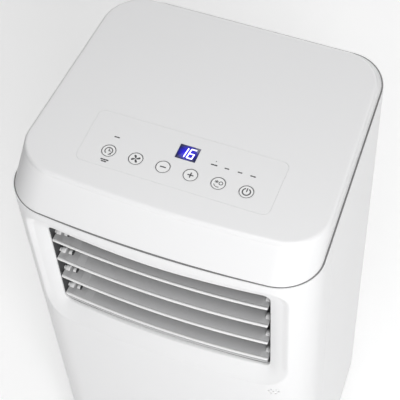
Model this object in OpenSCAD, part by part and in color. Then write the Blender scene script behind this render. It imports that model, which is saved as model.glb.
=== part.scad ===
// Portable air conditioner on four casters, built from separate pieces.
// Millimetres. +Z is up, the front faces -Y, and the origin is on the floor under the middle.

/* [Cabinet] */
// Width of the cabinet across its middle
body_w = 328; // [322:1:334]
// Depth of the cabinet
body_d = 322; // [320:1:326]
// Height from the floor to the top face
body_h = 700; // [698:1:706]
// Radius of the cabinet's upright corners
corner_r = 45; // [40:1:50]
// How far the middle of the front stands out beyond its ends
front_bow = 11; // [8:1:13]
// Share by which the sides close in from the middle to the back
plan_taper = 0.05; // [0.03:0.005:0.06]
// Thickness of the moulded walls
wall = 2.6; // [2.2:0.1:3]
// Height of the cabinet's underside above the floor
floor_gap = 34; // [34:1:36]
// Distance of the joint between the shells in front of the middle
split_y = 83; // [78:1:88]

/* [Top cover] */
// Height of the cover above the seam
cover_h = 34; // [32:1:36]
// How far the cover's lower edge stands in from the cabinet
cover_inset = 2.4; // [2:0.1:3]
// How far the top face's front edge stands back from the cover's lower edge
slope_front = 31.5; // [28:0.5:34]
// How far the top face's back edge stands in from the cover's lower edge
slope_back = 27.5; // [24:0.5:30]
// Radius of the rounded edge round the top face
edge_r = 4; // [3:0.5:5]

/* [Controls] */
// Distance between neighbouring buttons
button_pitch = 30; // [29:0.5:31]
// Radius of a button cap
button_r = 7.6; // [7:0.1:8]
// Gap round a button cap
button_gap = 0.4; // [0.3:0.1:0.5]
// Travel of a button
button_travel = 1; // [0.8:0.1:1.2]
// Distance of the row of buttons in front of the middle
button_y = 77.5; // [76:0.5:79]
// Width of the display window
window_w = 22; // [21:0.5:23]
// Depth of the display window
window_d = 18; // [17:0.5:19]

/* [Air outlet] */
// Width of the opening
outlet_w = 252; // [250:1:253]
// Height of the opening
outlet_h = 149; // [147:1:151]
// Height of the opening's middle above the floor
outlet_z = 555.5; // [555:0.5:556]
// Depth of the moulded recess round the opening
recess_depth = 8; // [7:0.5:9]
// Number of vanes
vane_count = 4; // [4:1:4]
// Distance between neighbouring vanes
vane_pitch = 36.7; // [36.5:0.1:37]
// Depth of a vane from its front edge to its back edge
vane_chord = 32; // [30:1:33]

/* [Blowers] */
// Radius of the evaporator's blower wheel
evap_wheel_r = 72; // [68:1:74]
// Radius of the condenser's blower wheel
cond_wheel_r = 84; // [80:1:86]
// Number of blades on each blower wheel
blade_count = 28; // [20:1:32]

/* [Exhaust and casters] */
// Bore radius of the collar that the exhaust hose fits
collar_r = 65; // [62:1:65]
// Radius of a caster wheel
caster_r = 19; // [18:0.5:19]
// Distance of a caster wheel's axle behind its stem
caster_trail = 14; // [12:1:14]
// Distance of the caster stems from the middle, sideways
caster_x = 115; // [110:1:116]
// Distance of the caster stems from the middle, front to back
caster_y = 112; // [108:1:113]

/* [Hidden] */
$fn = 64;

// Outline of the cabinet
half_w = body_w / 2;
half_d = body_d / 2;
seam_z = body_h - cover_h;
seam_gap = 0.8;
corner_steps = 8;
bow_steps = 8;
big = 400;
cut = 1;
gap = 0.4;

// Points of a quarter circle at one corner
function arc_points(x, y, r, start) =
    [for (i = [0:corner_steps]) [x + r * cos(start + 90 * i / corner_steps),
                                 y + r * sin(start + 90 * i / corner_steps)]];

// Points between two corners along a side that is bowed later
function side_points(x0, x1, y) =
    [for (i = [1:bow_steps - 1]) [x0 + (x1 - x0) * i / bow_steps, y]];

// A rounded rectangle with bowed front and sides that close in towards the back
function plan(a, b, r, bow) =
    let (raw = concat(arc_points(a - r, b - r, r, 0), side_points(a - r, r - a, b),
                      arc_points(r - a, b - r, r, 90), arc_points(r - a, r - b, r, 180),
                      side_points(r - a, a - r, -b), arc_points(a - r, r - b, r, 270)))
    [for (p = raw) [p[0] * (1 - plan_taper * p[1] / half_d),
                    p[1] < 0 ? p[1] * (1 - bow / b * pow(p[0] / a, 2)) : p[1]]];

// The cabinet's outline, moved inwards by a distance
function body_plan(inset) = plan(half_w - inset, half_d - inset, corner_r - inset, front_bow);

// The cover's outline: inset at the front, sides and back
function cover_plan(front, side, back, r) =
    let (b = half_d - (front + back) / 2, dy = (front - back) / 2)
    [for (p = plan(half_w - side, b, r, front_bow * 0.85)) [p[0], p[1] + dy]];

// A solid through a stack of outlines with the same number of points
module loft(rings, heights) {
    n = len(rings[0]);
    last = len(rings) - 1;
    points = [for (k = [0:last]) for (p = rings[k]) [p[0], p[1], heights[k]]];
    bottom = [[for (i = [0:n - 1]) i]];
    top = [[for (i = [0:n - 1]) last * n + n - 1 - i]];
    walls = [for (k = [0:last - 1]) for (i = [0:n - 1]) for (half = [0, 1])
        let (j = (i + 1) % n)
        half == 0 ? [k * n + i, (k + 1) * n + j, k * n + j]
                  : [k * n + i, (k + 1) * n + i, (k + 1) * n + j]];
    polyhedron(points = points, faces = concat(bottom, top, walls), convexity = 4);
}

// Solid of the cabinet's outline between two heights
module body_block(inset, z0, z1) {
    translate([0, 0, z0]) linear_extrude(z1 - z0) polygon(body_plan(inset));
}

// Box between two opposite corners
module box(low, high) {
    translate(low) cube(high - low);
}

// Rounded rectangle, centred
module round_rect(w, h, r) {
    hull() {
        for (x = [-1, 1], y = [-1, 1]) {
            translate([x * (w / 2 - r), y * (h / 2 - r)]) circle(r, $fn = 32);
        }
    }
}

// Upright plate in the XZ plane, from y0 to y1, shaped by a 2D child
module facing_y(x, z, y0, y1) {
    translate([x, y1, z]) rotate([90, 0, 0]) linear_extrude(y1 - y0) children();
}

// Cylinder along X or Y between two places
module rod_x(r, x0, x1, y, z) {
    translate([x0, y, z]) rotate([0, 90, 0]) cylinder(r = r, h = x1 - x0);
}

module rod_y(r, y0, y1, x, z) {
    translate([x, y0, z]) rotate([-90, 0, 0]) cylinder(r = r, h = y1 - y0);
}

// Pipe along a list of points, with a brazed elbow at each bend
module pipe(path, r) {
    elbow = 1.15;
    for (i = [0:len(path) - 2]) {
        d = path[i + 1] - path[i];
        translate(path[i]) rotate([0, acos(d[2] / norm(d)), atan2(d[1], d[0])])
            cylinder(r = r, h = norm(d), $fn = 24);
    }
    for (i = [1:len(path) - 2]) {
        translate(path[i]) sphere(r * elbow, $fn = 24);
    }
}

// ---- Cabinet ----

pan_rim_z = floor_gap + 12;
pan_floor_z = floor_gap + 20;
pan_wall = 5;
pan_hollow_x = 62;
pan_hollow_y = 130;
pan_hollow_h = 15;
socket_r = 10;
socket_h = 14;
screw_boss = 7;
screw_bore_l = 14;
bore_fit = 0.05;
pan_top_z = floor_gap + 36;
pocket_r = 37;
pocket_top_z = floor_gap + 16;
stem_r = 5;
stem_fit = 0.05;
socket_top_z = pocket_top_z + 15;
screw_x = 104;
screw_r = 1.5;
screw_head_r = 3.4;
screw_head_t = 1;
low_screw_z = pan_top_z - 8;
high_screw_z = seam_z - 12;
rear_in_y = half_d - wall;
drain_x = -70;
drain_z = pan_floor_z + 9;
spout_r = 8;
plug_r = 5;

module at_casters() {
    for (x = [-1, 1], y = [-1, 1]) {
        translate([x * caster_x, y * caster_y, 0]) children();
    }
}

module base_pan() {
    color("gainsboro") difference() {
        union() {
            body_block(0, floor_gap, pan_rim_z);
            body_block(wall + gap, pan_rim_z - cut, pan_top_z);
        }
        difference() {
            body_block(wall + pan_wall, pan_floor_z, pan_top_z + cut);
            at_casters() translate([0, 0, pan_floor_z - cut]) cylinder(r = socket_r, h = socket_h);
            for (x = [-1, 1]) {
                box([x * screw_x - screw_boss, rear_in_y - 20, pan_floor_z - cut],
                    [x * screw_x + screw_boss, rear_in_y, pan_top_z]);
            }
            rod_y(spout_r, rear_in_y - 26, rear_in_y, drain_x, drain_z);
        }
        at_casters() {
            translate([0, 0, floor_gap - cut]) cylinder(r = pocket_r, h = pocket_top_z - floor_gap + cut);
            translate([0, 0, floor_gap]) cylinder(r = stem_r + stem_fit, h = socket_top_z - floor_gap);
        }
        box([-pan_hollow_x, -pan_hollow_y, floor_gap - cut],
            [pan_hollow_x, pan_hollow_y, floor_gap + pan_hollow_h]);
        for (x = [-1, 1]) {
            rod_y(screw_r + bore_fit, rear_in_y - screw_bore_l, half_d, x * screw_x, low_screw_z);
        }
        rod_y(plug_r + bore_fit, rear_in_y - 30, half_d, drain_x, drain_z);
    }
}

shell_z0 = pan_rim_z + 0.5;
shell_z1 = seam_z;
recess_w = outlet_w + 38;
recess_h = outlet_h + 56;
recess_z = outlet_z - 1;
recess_corner_r = 26;
outlet_corner_r = 14;
frame_back_y = -112;
sound_x = 132;
sound_z = 442;
sound_pitch = 5.4;
sound_hole_r = 1.1;

// Seven small holes, one in the middle of six
module sound_holes() {
    for (i = [0:6]) {
        ring = i == 0 ? 0 : sound_pitch;
        rod_y(sound_hole_r, -half_d, -half_d + 30,
              sound_x + ring * cos(60 * i), sound_z + ring * sin(60 * i));
    }
}

module front_shell() {
    color("white") difference() {
        intersection() {
            union() {
                difference() {
                    body_block(0, shell_z0, shell_z1);
                    body_block(wall, shell_z0 - cut, shell_z1 + cut);
                }
                difference() {
                    intersection() {
                        body_block(wall / 2, recess_z - recess_h / 2 - 3, recess_z + recess_h / 2 + 3);
                        box([-recess_w / 2 - 3, -half_d, 0], [recess_w / 2 + 3, -half_d + 24, body_h]);
                    }
                    body_block(recess_depth + 3, 0, body_h);
                }
            }
            box([-big, -big, 0], [big, -split_y, body_h]);
        }
        difference() {
            facing_y(0, recess_z, -half_d - cut, -half_d + 40)
                round_rect(recess_w, recess_h, recess_corner_r);
            body_block(recess_depth, 0, body_h);
        }
        facing_y(0, outlet_z, -half_d - cut, -half_d + 40)
            round_rect(outlet_w, outlet_h, outlet_corner_r);
        sound_holes();
    }
}

grip_w = 110;
grip_h = 28;
grip_z = seam_z - 34;
grip_depth = 24;
filter_w = 250;
filter_z0 = 440;
filter_z1 = 600;
grille_w = 250;
grille_z0 = 76;
grille_z1 = 268;
collar_z = 350;
gland_x = 96;
gland_z = 330;
gland_r = 9;
opening_corner_r = 6;
opening_cut = 8;
collar_flange = 5;

module rear_shell() {
    filter_mid = (filter_z0 + filter_z1) / 2;
    grille_mid = (grille_z0 + grille_z1) / 2;
    lip_gap = 0.3;
    lip_wall = 2.3;
    grip_corner_r = 8;
    cut_y = half_d - opening_cut;
    color("whitesmoke") difference() {
        union() {
            intersection() {
                difference() {
                    body_block(0, shell_z0, shell_z1);
                    body_block(wall, shell_z0 - cut, shell_z1 + cut);
                }
                box([-big, -split_y + 0.8, 0], [big, big, body_h]);
            }
            // Lip that reaches inside the front shell
            intersection() {
                difference() {
                    body_block(wall + lip_gap, pan_top_z + 2, shell_z1 - 4);
                    body_block(wall + lip_wall, pan_top_z + 1, shell_z1);
                }
                box([-big, -split_y - 8, 0], [big, -split_y + 6, body_h]);
            }
            intersection() {
                difference() {
                    body_block(wall / 2, pan_top_z + 2, shell_z1 - 4);
                    body_block(wall + lip_wall, pan_top_z + 1, shell_z1);
                }
                box([-big, -split_y + 1.5, 0], [big, -split_y + 6, body_h]);
            }
            // Pocket behind the hand grip
            facing_y(0, grip_z, half_d - grip_depth, half_d - wall / 2)
                round_rect(grip_w, grip_h, grip_corner_r);
        }
        facing_y(0, grip_z, half_d - grip_depth + wall, half_d + cut)
            round_rect(grip_w - 2 * wall, grip_h - 2 * wall, grip_corner_r - wall);
        facing_y(0, filter_mid, cut_y, half_d + cut)
            round_rect(filter_w, filter_z1 - filter_z0, opening_corner_r);
        facing_y(0, grille_mid, cut_y, half_d + cut)
            round_rect(grille_w, grille_z1 - grille_z0, opening_corner_r);
        rod_y(collar_r + collar_flange + gap, cut_y, half_d + cut, 0, collar_z);
        rod_y(gland_r + 0.3, cut_y, half_d + cut, gland_x, gland_z);
        rod_y(spout_r + 2, cut_y, half_d + cut, drain_x, drain_z);
        for (x = [-1, 1], z = [low_screw_z, high_screw_z]) {
            rod_y(screw_r + 0.3, cut_y, half_d + cut, x * screw_x, z);
            rod_y(screw_head_r + gap, half_d - screw_head_t - 0.3, half_d + cut, x * screw_x, z);
        }
    }
}

module shell_screws() {
    color("silver") for (x = [-1, 1], z = [low_screw_z, high_screw_z]) {
        rod_y(screw_r, half_d - 15, half_d - 0.9, x * screw_x, z);
        rod_y(screw_head_r, half_d - screw_head_t - 0.2, half_d - 0.2, x * screw_x, z);
    }
}

// ---- Top cover and controls ----

panel_w = 210;
panel_d = 68;
panel_y = -64;
panel_t = 1.2;
top_wall = 3;
panel_z = body_h - panel_t;
window_x = 2.3;
window_y = -53;
board_z = seam_z - 5;
board_t = 1.6;
board_w = 196;
board_d = 62;
post_inset = 5;
post_r = 3;
switch_h = 5;
plunger_h = 1.5;
flange_r = button_r + 1.8;
panel_corner_r = 8;
window_margin = 1.5;
slope_share = 0.93;

module cover_solid(inset, z0) {
    z1 = body_h - inset;
    rise = z1 - edge_r - seam_z;
    full = cover_h - edge_r;
    f = cover_inset + inset;
    low_r = corner_r - f;
    share = rise / full;
    rings = concat(
        [cover_plan(f, f, f, low_r)],
        [for (k = [0:4])
            let (a = 22.5 * k, e = edge_r * (1 - cos(a)))
            cover_plan(f + slope_front * (k == 0 ? share : 1) * slope_share + e,
                       f + e,
                       f + slope_back * (k == 0 ? share : 1) * slope_share + e,
                       low_r - e)]);
    heights = concat([z0], [for (k = [0:4]) z1 - edge_r + edge_r * sin(22.5 * k)]);
    loft(rings, heights);
}

module at_buttons() {
    for (i = [0:5]) {
        translate([(i - 2.5) * button_pitch, -button_y, 0]) children();
    }
}

module at_board_posts() {
    for (x = [-1, 1], y = [-1, 1]) {
        translate([x * (board_w / 2 - post_inset), panel_y + y * (board_d / 2 - post_inset), 0]) children();
    }
}

module top_cover() {
    arm_y = rear_in_y - 44;
    arm_t = 6;
    window_half = [window_w / 2 + window_margin, window_d / 2 + window_margin];
    color("white") difference() {
        union() {
            difference() {
                cover_solid(0, seam_z + seam_gap);
                cover_solid(top_wall, seam_z + seam_gap - cut);
            }
            at_board_posts() translate([0, 0, board_z + board_t + 0.2])
                cylinder(r = post_r, h = body_h - top_wall + cut - board_z - board_t);
            for (x = [-1, 1]) {
                box([x * screw_x - screw_boss, arm_y, high_screw_z - screw_boss],
                    [x * screw_x + screw_boss, rear_in_y - 1, seam_z + 3]);
                box([x * screw_x - screw_boss, arm_y, seam_z + 2],
                    [x * screw_x + screw_boss, arm_y + arm_t, body_h - top_wall + cut]);
            }
        }
        translate([0, panel_y, panel_z]) linear_extrude(panel_t + cut)
            round_rect(panel_w + 0.3, panel_d + 0.3, panel_corner_r);
        at_buttons() translate([0, 0, body_h - 2 * top_wall])
            cylinder(r = button_r + button_gap, h = 3 * top_wall);
        box([window_x - window_half[0], window_y - window_half[1], body_h - 2 * top_wall],
            [window_x + window_half[0], window_y + window_half[1], body_h + cut]);
        for (x = [-1, 1]) {
            rod_y(screw_r + bore_fit, half_d - 24, half_d + cut, x * screw_x, high_screw_z);
        }
    }
}

module control_panel() {
    color("whitesmoke") translate([0, panel_y, panel_z]) difference() {
        linear_extrude(panel_t) round_rect(panel_w, panel_d, panel_corner_r);
        translate([0, -panel_y, -cut]) at_buttons() cylinder(r = button_r + button_gap, h = 4);
        translate([window_x, window_y - panel_y, 0])
            cube([window_w + 0.4, window_d + 0.4, 6], center = true);
    }
}

module display_window() {
    color("midnightblue") translate([window_x, window_y, panel_z]) linear_extrude(panel_t)
        square([window_w, window_d], center = true);
}

// One seven-bar figure, with the bars that are lit
module figure(bars) {
    w = 6;
    h = 11;
    t = 1.1;
    spots = [[0, h / 2, 0], [w / 2, h / 4, 90], [w / 2, -h / 4, 90], [0, -h / 2, 0],
             [-w / 2, -h / 4, 90], [-w / 2, h / 4, 90], [0, 0, 0]];
    for (i = bars) {
        s = spots[i];
        long = s[2] == 0 ? w - t - 0.3 : h / 2 - 1;
        translate([s[0], s[1], 0]) rotate([0, 0, s[2]])
            translate([-long / 2, -t / 2, 0]) cube([long, t, 0.5]);
    }
}

digit_z = panel_z - 0.8;

module display_digits() {
    spread = 4.6;
    color("white") translate([window_x, window_y, digit_z]) {
        translate([-spread, 0, 0]) figure([1, 2]);
        translate([spread, 0, 0]) figure([0, 2, 3, 4, 5, 6]);
    }
}

module key_board() {
    color("darkgreen") difference() {
        translate([-board_w / 2, panel_y - board_d / 2, board_z]) cube([board_w, board_d, board_t]);
        at_board_posts() translate([0, 0, board_z - cut]) cylinder(r = 1.3, h = 4);
    }
    color("dimgray") box([window_x - 11, window_y - 8.5, board_z + board_t],
                         [window_x + 11, window_y + 8.5, digit_z - 0.1]);
    chip = [8, 6, 3];
    color("black") for (i = [0:4]) {
        translate([-60 + i * 26, -42.5, board_z + board_t]) cube(chip);
    }
}

module key_switches() {
    color("dimgray") at_buttons() translate([0, 0, board_z + board_t]) {
        translate([-3, -3, 0]) cube([6, 6, switch_h]);
        translate([0, 0, switch_h]) cylinder(r = 1.7, h = plunger_h);
    }
}

module button(index) {
    stop_z = body_h - top_wall;
    stem_z = board_z + board_t + switch_h + plunger_h + button_travel + 0.2;
    color("white") translate([(index - 2.5) * button_pitch, -button_y, 0]) {
        translate([0, 0, stop_z - 1.5]) cylinder(r = button_r, h = top_wall + 1.2);
        translate([0, 0, stop_z - 2.2]) cylinder(r = flange_r, h = 2);
        translate([0, 0, stem_z]) cylinder(r = 2.2, h = stop_z - 2 - stem_z);
    }
}

// ---- Air outlet ----

pivot_y = -132;
pivot_r = 2.5;
pivot_fit = 0.06;
frame_t = 3;
frame_w = outlet_w - 0.8;
frame_h = outlet_h - 0.8;
frame_corner_r = 13.6;
frame_inner_r = 3;
frame_front_y = -146;
vane_back_y = pivot_y + 14;
vane_front_y = vane_back_y - vane_chord;
vane_half_w = frame_w / 2 - frame_t - 0.8;
crank = 12;
link_x = -95;
link_t = 3;
link_w = 8;
link_end = 3.2;
pin_r = 1.5;
function vane_z(i) = outlet_z - 6.8 + (vane_count + 1) * vane_pitch / 2 - i * vane_pitch;

module outlet_frame() {
    color("white") difference() {
        facing_y(0, outlet_z, frame_front_y, frame_back_y) round_rect(frame_w, frame_h, frame_corner_r);
        facing_y(0, outlet_z, frame_front_y - cut, frame_back_y + cut)
            round_rect(frame_w - 2 * frame_t, frame_h - 2 * frame_t, frame_inner_r);
        for (i = [1:vane_count]) {
            rod_x(pivot_r + pivot_fit, -frame_w, frame_w, pivot_y, vane_z(i));
        }
    }
}

// A vane: a thin blade with a rounded, bowed front edge, two end pins and a crank pin
module vane(i) {
    blade_t = 2.4;
    n = 12;
    edge = [for (k = [0:n])
        let (x = -vane_half_w + 2 * vane_half_w * k / n)
        [x, vane_front_y + front_bow / 2 * pow(x / vane_half_w, 2) - front_bow / 8]];
    notch_w = link_t + 5;
    boss_r = 4;
    boss_half_l = 2.6;
    boss_x = vane_half_w - 3;
    pin_x = vane_half_w + 0.8;
    // Behind the end bosses the blade is cut away
    end_y = pivot_y + 3.5;
    full_half_w = vane_half_w - 7;
    back = [[vane_half_w, end_y], [full_half_w, end_y], [full_half_w, vane_back_y],
            [-full_half_w, vane_back_y], [-full_half_w, end_y], [-vane_half_w, end_y]];
    color("gainsboro") translate([0, 0, vane_z(i)]) {
        difference() {
            translate([0, 0, -blade_t / 2]) linear_extrude(blade_t) polygon(concat(edge, back));
            box([link_x - notch_w / 2, pivot_y + crank - 6.5, -4],
                [link_x + notch_w / 2, pivot_y + 20, 4]);
        }
        for (side = [-1, 1]) {
            rod_x(boss_r, side * boss_x - boss_half_l, side * boss_x + boss_half_l, pivot_y, 0);
            rod_x(pivot_r, side * pin_x - boss_half_l, side * pin_x + boss_half_l, pivot_y, 0);
        }
        rod_x(pin_r, link_x - notch_w / 2 - 1, link_x + notch_w / 2 + 1, pivot_y + crank, 0);
    }
}

module vane_link() {
    pin_y = pivot_y + crank;
    color("white") difference() {
        box([link_x - link_t / 2, pin_y - link_w / 2, vane_z(vane_count) - link_end],
            [link_x + link_t / 2, pin_y + link_w / 2, vane_z(1) + link_end]);
        for (i = [1:vane_count]) {
            rod_x(pin_r + (i == 1 ? 0.06 : 0.3), link_x - link_t, link_x + link_t, pin_y, vane_z(i));
        }
    }
}

duct_t = 4;
duct_half_w = 125;
duct_low_z = 475;
duct_high_z = 637;
duct_shelf_z = 546;
duct_back_y = 104;
evap_z = 450;
evap_y0 = 40;
evap_y1 = 100;
evap_scroll_r = 90;

// Side view of the air duct, as points in Y and Z, inside or outside its wall
function duct_side(t, front) = [[front, duct_low_z + t], [-42, duct_low_z + t],
    [14, duct_shelf_z + t], [duct_back_y - t, duct_shelf_z + t], [duct_back_y - t, duct_high_z - t],
    [front, duct_high_z - t]];

module air_duct() {
    color("lightgray") difference() {
        translate([-duct_half_w, 0, 0]) rotate([90, 0, 90]) linear_extrude(2 * duct_half_w)
            polygon(duct_side(0, frame_back_y + gap));
        translate([duct_t - duct_half_w, 0, 0]) rotate([90, 0, 90])
            linear_extrude(2 * (duct_half_w - duct_t)) polygon(duct_side(duct_t, frame_back_y - cut));
        box([-evap_scroll_r + 3, evap_y0 + 3, duct_shelf_z - cut],
            [-18, evap_y1 - 3, duct_shelf_z + 2 * duct_t]);
    }
}

// ---- Blowers ----

// Volute: a round housing with a chimney on its left side, an inlet behind and a motor hole in front
module scroll(cx, cz, r, y0, y1, top_z, chimney_w, inlet_r, motor_r) {
    t = 2;
    difference() {
        union() {
            rod_y(r, y0, y1, cx, cz);
            box([cx - r, y0, cz], [cx - r + chimney_w, y1, top_z]);
        }
        rod_y(r - t, y0 + t, y1 - t, cx, cz);
        box([cx - r + t, y0 + t, cz], [cx - r + chimney_w - t, y1 - t, top_z + cut]);
        rod_y(inlet_r, y1 - 2 * t, y1 + cut, cx, cz);
        rod_y(motor_r, y0 - cut, y0 + 2 * t, cx, cz);
    }
}

// Squirrel-cage wheel: back plate, hub, blades and a front ring
module blower_wheel(cx, cz, r, y0, y1) {
    blade_w = 11;
    plate_t = 2.5;
    difference() {
        union() {
            rod_y(r, y0, y0 + plate_t, cx, cz);
            rod_y(12, y0, y0 + 22, cx, cz);
            difference() {
                rod_y(r, y1 - 3, y1, cx, cz);
                rod_y(r - blade_w - 1, y1 - 4, y1 + cut, cx, cz);
            }
            for (i = [0:blade_count - 1]) {
                translate([cx, 0, cz]) rotate([0, 360 * i / blade_count, 0])
                    box([r - blade_w, y0 + 1, -0.7], [r - 1, y1 - 1, 0.7]);
            }
        }
        rod_y(4.05, y0 - cut, y0 + 30, cx, cz);
    }
}

module blower_motor(cx, cz, r, y0, y1, shaft_end) {
    difference() {
        union() {
            rod_y(r, y0, y1 - 3, cx, cz);
            rod_y(r * 0.55, y1 - 4, y1, cx, cz);
        }
        for (i = [0:7]) {
            translate([cx, 0, cz]) rotate([0, 45 * i, 0])
                box([r - 4, y0 + 12, -3], [r + cut, y1 - 12, 3]);
        }
    }
    rod_y(4, y1 - cut, shaft_end, cx, cz);
}

module evaporator_scroll() {
    color("lightgray")
        scroll(0, evap_z, evap_scroll_r, evap_y0, evap_y1, duct_shelf_z - gap, 75, 56, 26);
}

module evaporator_wheel() {
    color("dimgray") blower_wheel(0, evap_z, evap_wheel_r, evap_y0 + 6, evap_y1 - 6);
}

module evaporator_motor() {
    color("silver") blower_motor(0, evap_z, 36, -16, evap_y0 + 1, evap_y0 + 26);
}

cond_x = 40;
cond_z = 176;
cond_y0 = 40;
cond_y1 = 100;
cond_scroll_r = 100;
chimney_top_z = 282;

module condenser_scroll() {
    color("lightgray")
        scroll(cond_x, cond_z, cond_scroll_r, cond_y0, cond_y1, chimney_top_z, 85, 68, 28);
}

module condenser_wheel() {
    color("dimgray") blower_wheel(cond_x, cond_z, cond_wheel_r, cond_y0 + 6, cond_y1 - 6);
}

module condenser_motor() {
    color("silver") blower_motor(cond_x, cond_z, 40, -20, cond_y0 + 1, cond_y0 + 26);
}

exhaust_half_w = 74;
exhaust_y0 = 104.6;
exhaust_y1 = half_d - wall - gap;
exhaust_z0 = 282.4;
exhaust_z1 = 420;
exhaust_neck_z = 340;

module exhaust_duct() {
    x0 = cond_x - cond_scroll_r;
    x1 = x0 + 85;
    t = 2;
    color("lightgray") difference() {
        union() {
            box([x0, cond_y0, exhaust_z0], [x1, exhaust_y0 + 4, exhaust_neck_z]);
            box([-exhaust_half_w, exhaust_y0, exhaust_z0 - 2], [exhaust_half_w, exhaust_y1, exhaust_z1]);
        }
        box([x0 + t, cond_y0 + t, exhaust_z0 - 4], [x1 - t, cond_y1 - t, exhaust_neck_z - t]);
        box([x0 + t, cond_y1 - 3 * t, exhaust_z0 + t], [x1 - t, exhaust_y0 + 8, exhaust_neck_z - t]);
        box([t - exhaust_half_w, exhaust_y0 + t, exhaust_z0],
            [exhaust_half_w - t, exhaust_y1 - t, exhaust_z1 - t]);
        rod_y(collar_r + collar_flange + gap, exhaust_y1 - 2 * t, exhaust_y1 + cut, 0, collar_z);
    }
}

module exhaust_collar() {
    collar_t = 2;
    collar_l = 22;
    face_y = half_d - gap;
    slot_half_w = 9;
    color("whitesmoke") difference() {
        union() {
            rod_y(collar_r + collar_t, half_d - collar_l, face_y, 0, collar_z);
            rod_y(collar_r + collar_flange, half_d - 6, face_y, 0, collar_z);
        }
        rod_y(collar_r, half_d - collar_l - 8, half_d + cut, 0, collar_z);
        // Slots that take the hose adapter's lugs
        for (a = [0, 120, 240]) {
            translate([0, 0, collar_z]) rotate([0, a, 0])
                box([-slot_half_w, half_d - 10, collar_r - 4], [slot_half_w, half_d + cut, collar_r + 1]);
        }
    }
}

// ---- Heat exchangers ----

coil_half_w = 122;
coil_y0 = 118;
coil_y1 = 150;
tube_r = 3.5;
fin_pitch = 8;
tube_rows = [126, 142];
tube_end_x = coil_half_w + 6.2;

module fins(z0, z1, tubes) {
    count = floor(2 * coil_half_w / fin_pitch);
    difference() {
        for (i = [0:count]) {
            x = -count * fin_pitch / 2 + i * fin_pitch;
            t = (i == 0 || i == count) ? 1.6 : 0.7;
            box([x - t / 2, coil_y0, z0], [x + t / 2, coil_y1, z1]);
        }
        for (k = [0:tubes - 1], y = tube_rows) {
            rod_x(tube_r + 0.05, -coil_half_w - 4, coil_half_w + 4, y, z0 + (k + 0.5) * (z1 - z0) / tubes);
        }
    }
}

// Straight tubes through the fins, with a return bend at alternate ends
module tubes(z0, z1, count) {
    step = (z1 - z0) / count;
    reach = coil_half_w + 6;
    bend_r = 0.93 * tube_r;
    for (k = [0:count - 1], y = tube_rows) {
        rod_x(tube_r, -reach, reach, y, z0 + (k + 0.5) * step);
    }
    for (k = [0:count - 2], y = tube_rows) {
        side = k % 2 == 0 ? 1 : -1;
        translate([side * (reach - 0.5), y, z0 + (k + 1) * step]) rotate([90, 0, 0])
            rotate([0, 0, side > 0 ? -90 : 90])
                rotate_extrude(angle = 180, $fn = 32) translate([step / 2, 0]) circle(bend_r, $fn = 24);
    }
}

evap_coil_z0 = 441;
evap_coil_z1 = 599;
cond_coil_z0 = 74;
cond_coil_z1 = 272;
// Even numbers, so that each row of tubes starts and ends on the left
evap_tubes = 6;
cond_tubes = 8;

module evaporator_coil() {
    color("silver") fins(evap_coil_z0, evap_coil_z1, evap_tubes);
}

module evaporator_tubes() {
    color("peru") tubes(evap_coil_z0, evap_coil_z1, evap_tubes);
}

module condenser_coil() {
    color("silver") fins(cond_coil_z0, cond_coil_z1, cond_tubes);
}

module condenser_tubes() {
    color("peru") tubes(cond_coil_z0, cond_coil_z1, cond_tubes);
}

tray_z0 = 427.6;
tray_z1 = 439;
tray_y0 = 110;
tray_y1 = 154;
tray_half_w = 130;
tray_t = 2;

module drip_tray() {
    color("whitesmoke") difference() {
        box([-tray_half_w, tray_y0, tray_z0], [tray_half_w, tray_y1, tray_z1]);
        box([tray_t - tray_half_w, tray_y0 + tray_t, tray_z0 + tray_t],
            [tray_half_w - tray_t, tray_y1 - tray_t, tray_z1 + cut]);
        // Outlet of the drain
        rod_y(3, tray_y0 - cut, tray_y0 + 2 * tray_t, -100, tray_z0 + 5);
    }
}

deck_z = 345;
deck_t = 3;
deck_rear_z = 424;
riser_y = 101;
suction_x = -140;
suction_y = 60;
capillary_x = -148;
capillary_y = 110;

module partition() {
    color("gainsboro") difference() {
        intersection() {
            body_block(wall + 2.6, deck_z, deck_rear_z + deck_t);
            union() {
                box([-big, -big, deck_z], [big, riser_y + deck_t, deck_z + deck_t]);
                box([-big, riser_y, deck_z], [big, riser_y + deck_t, deck_rear_z + deck_t]);
                box([-big, riser_y, deck_rear_z], [big, half_d, deck_rear_z + deck_t]);
            }
        }
        // Holes for the suction pipe and the capillary tube
        translate([suction_x, suction_y, deck_z - cut]) cylinder(r = 8, h = 10);
        translate([capillary_x, capillary_y, deck_rear_z - cut]) cylinder(r = 4, h = 10);
    }
}

// ---- Refrigerant circuit ----

comp_x = -92;
comp_y = -70;
comp_r = 52;
comp_z0 = 78;
comp_z1 = 266;
acc_x = -14;
acc_y = -95;
acc_r = 22;
acc_top_z = 225;
mount_x = 54;

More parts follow.
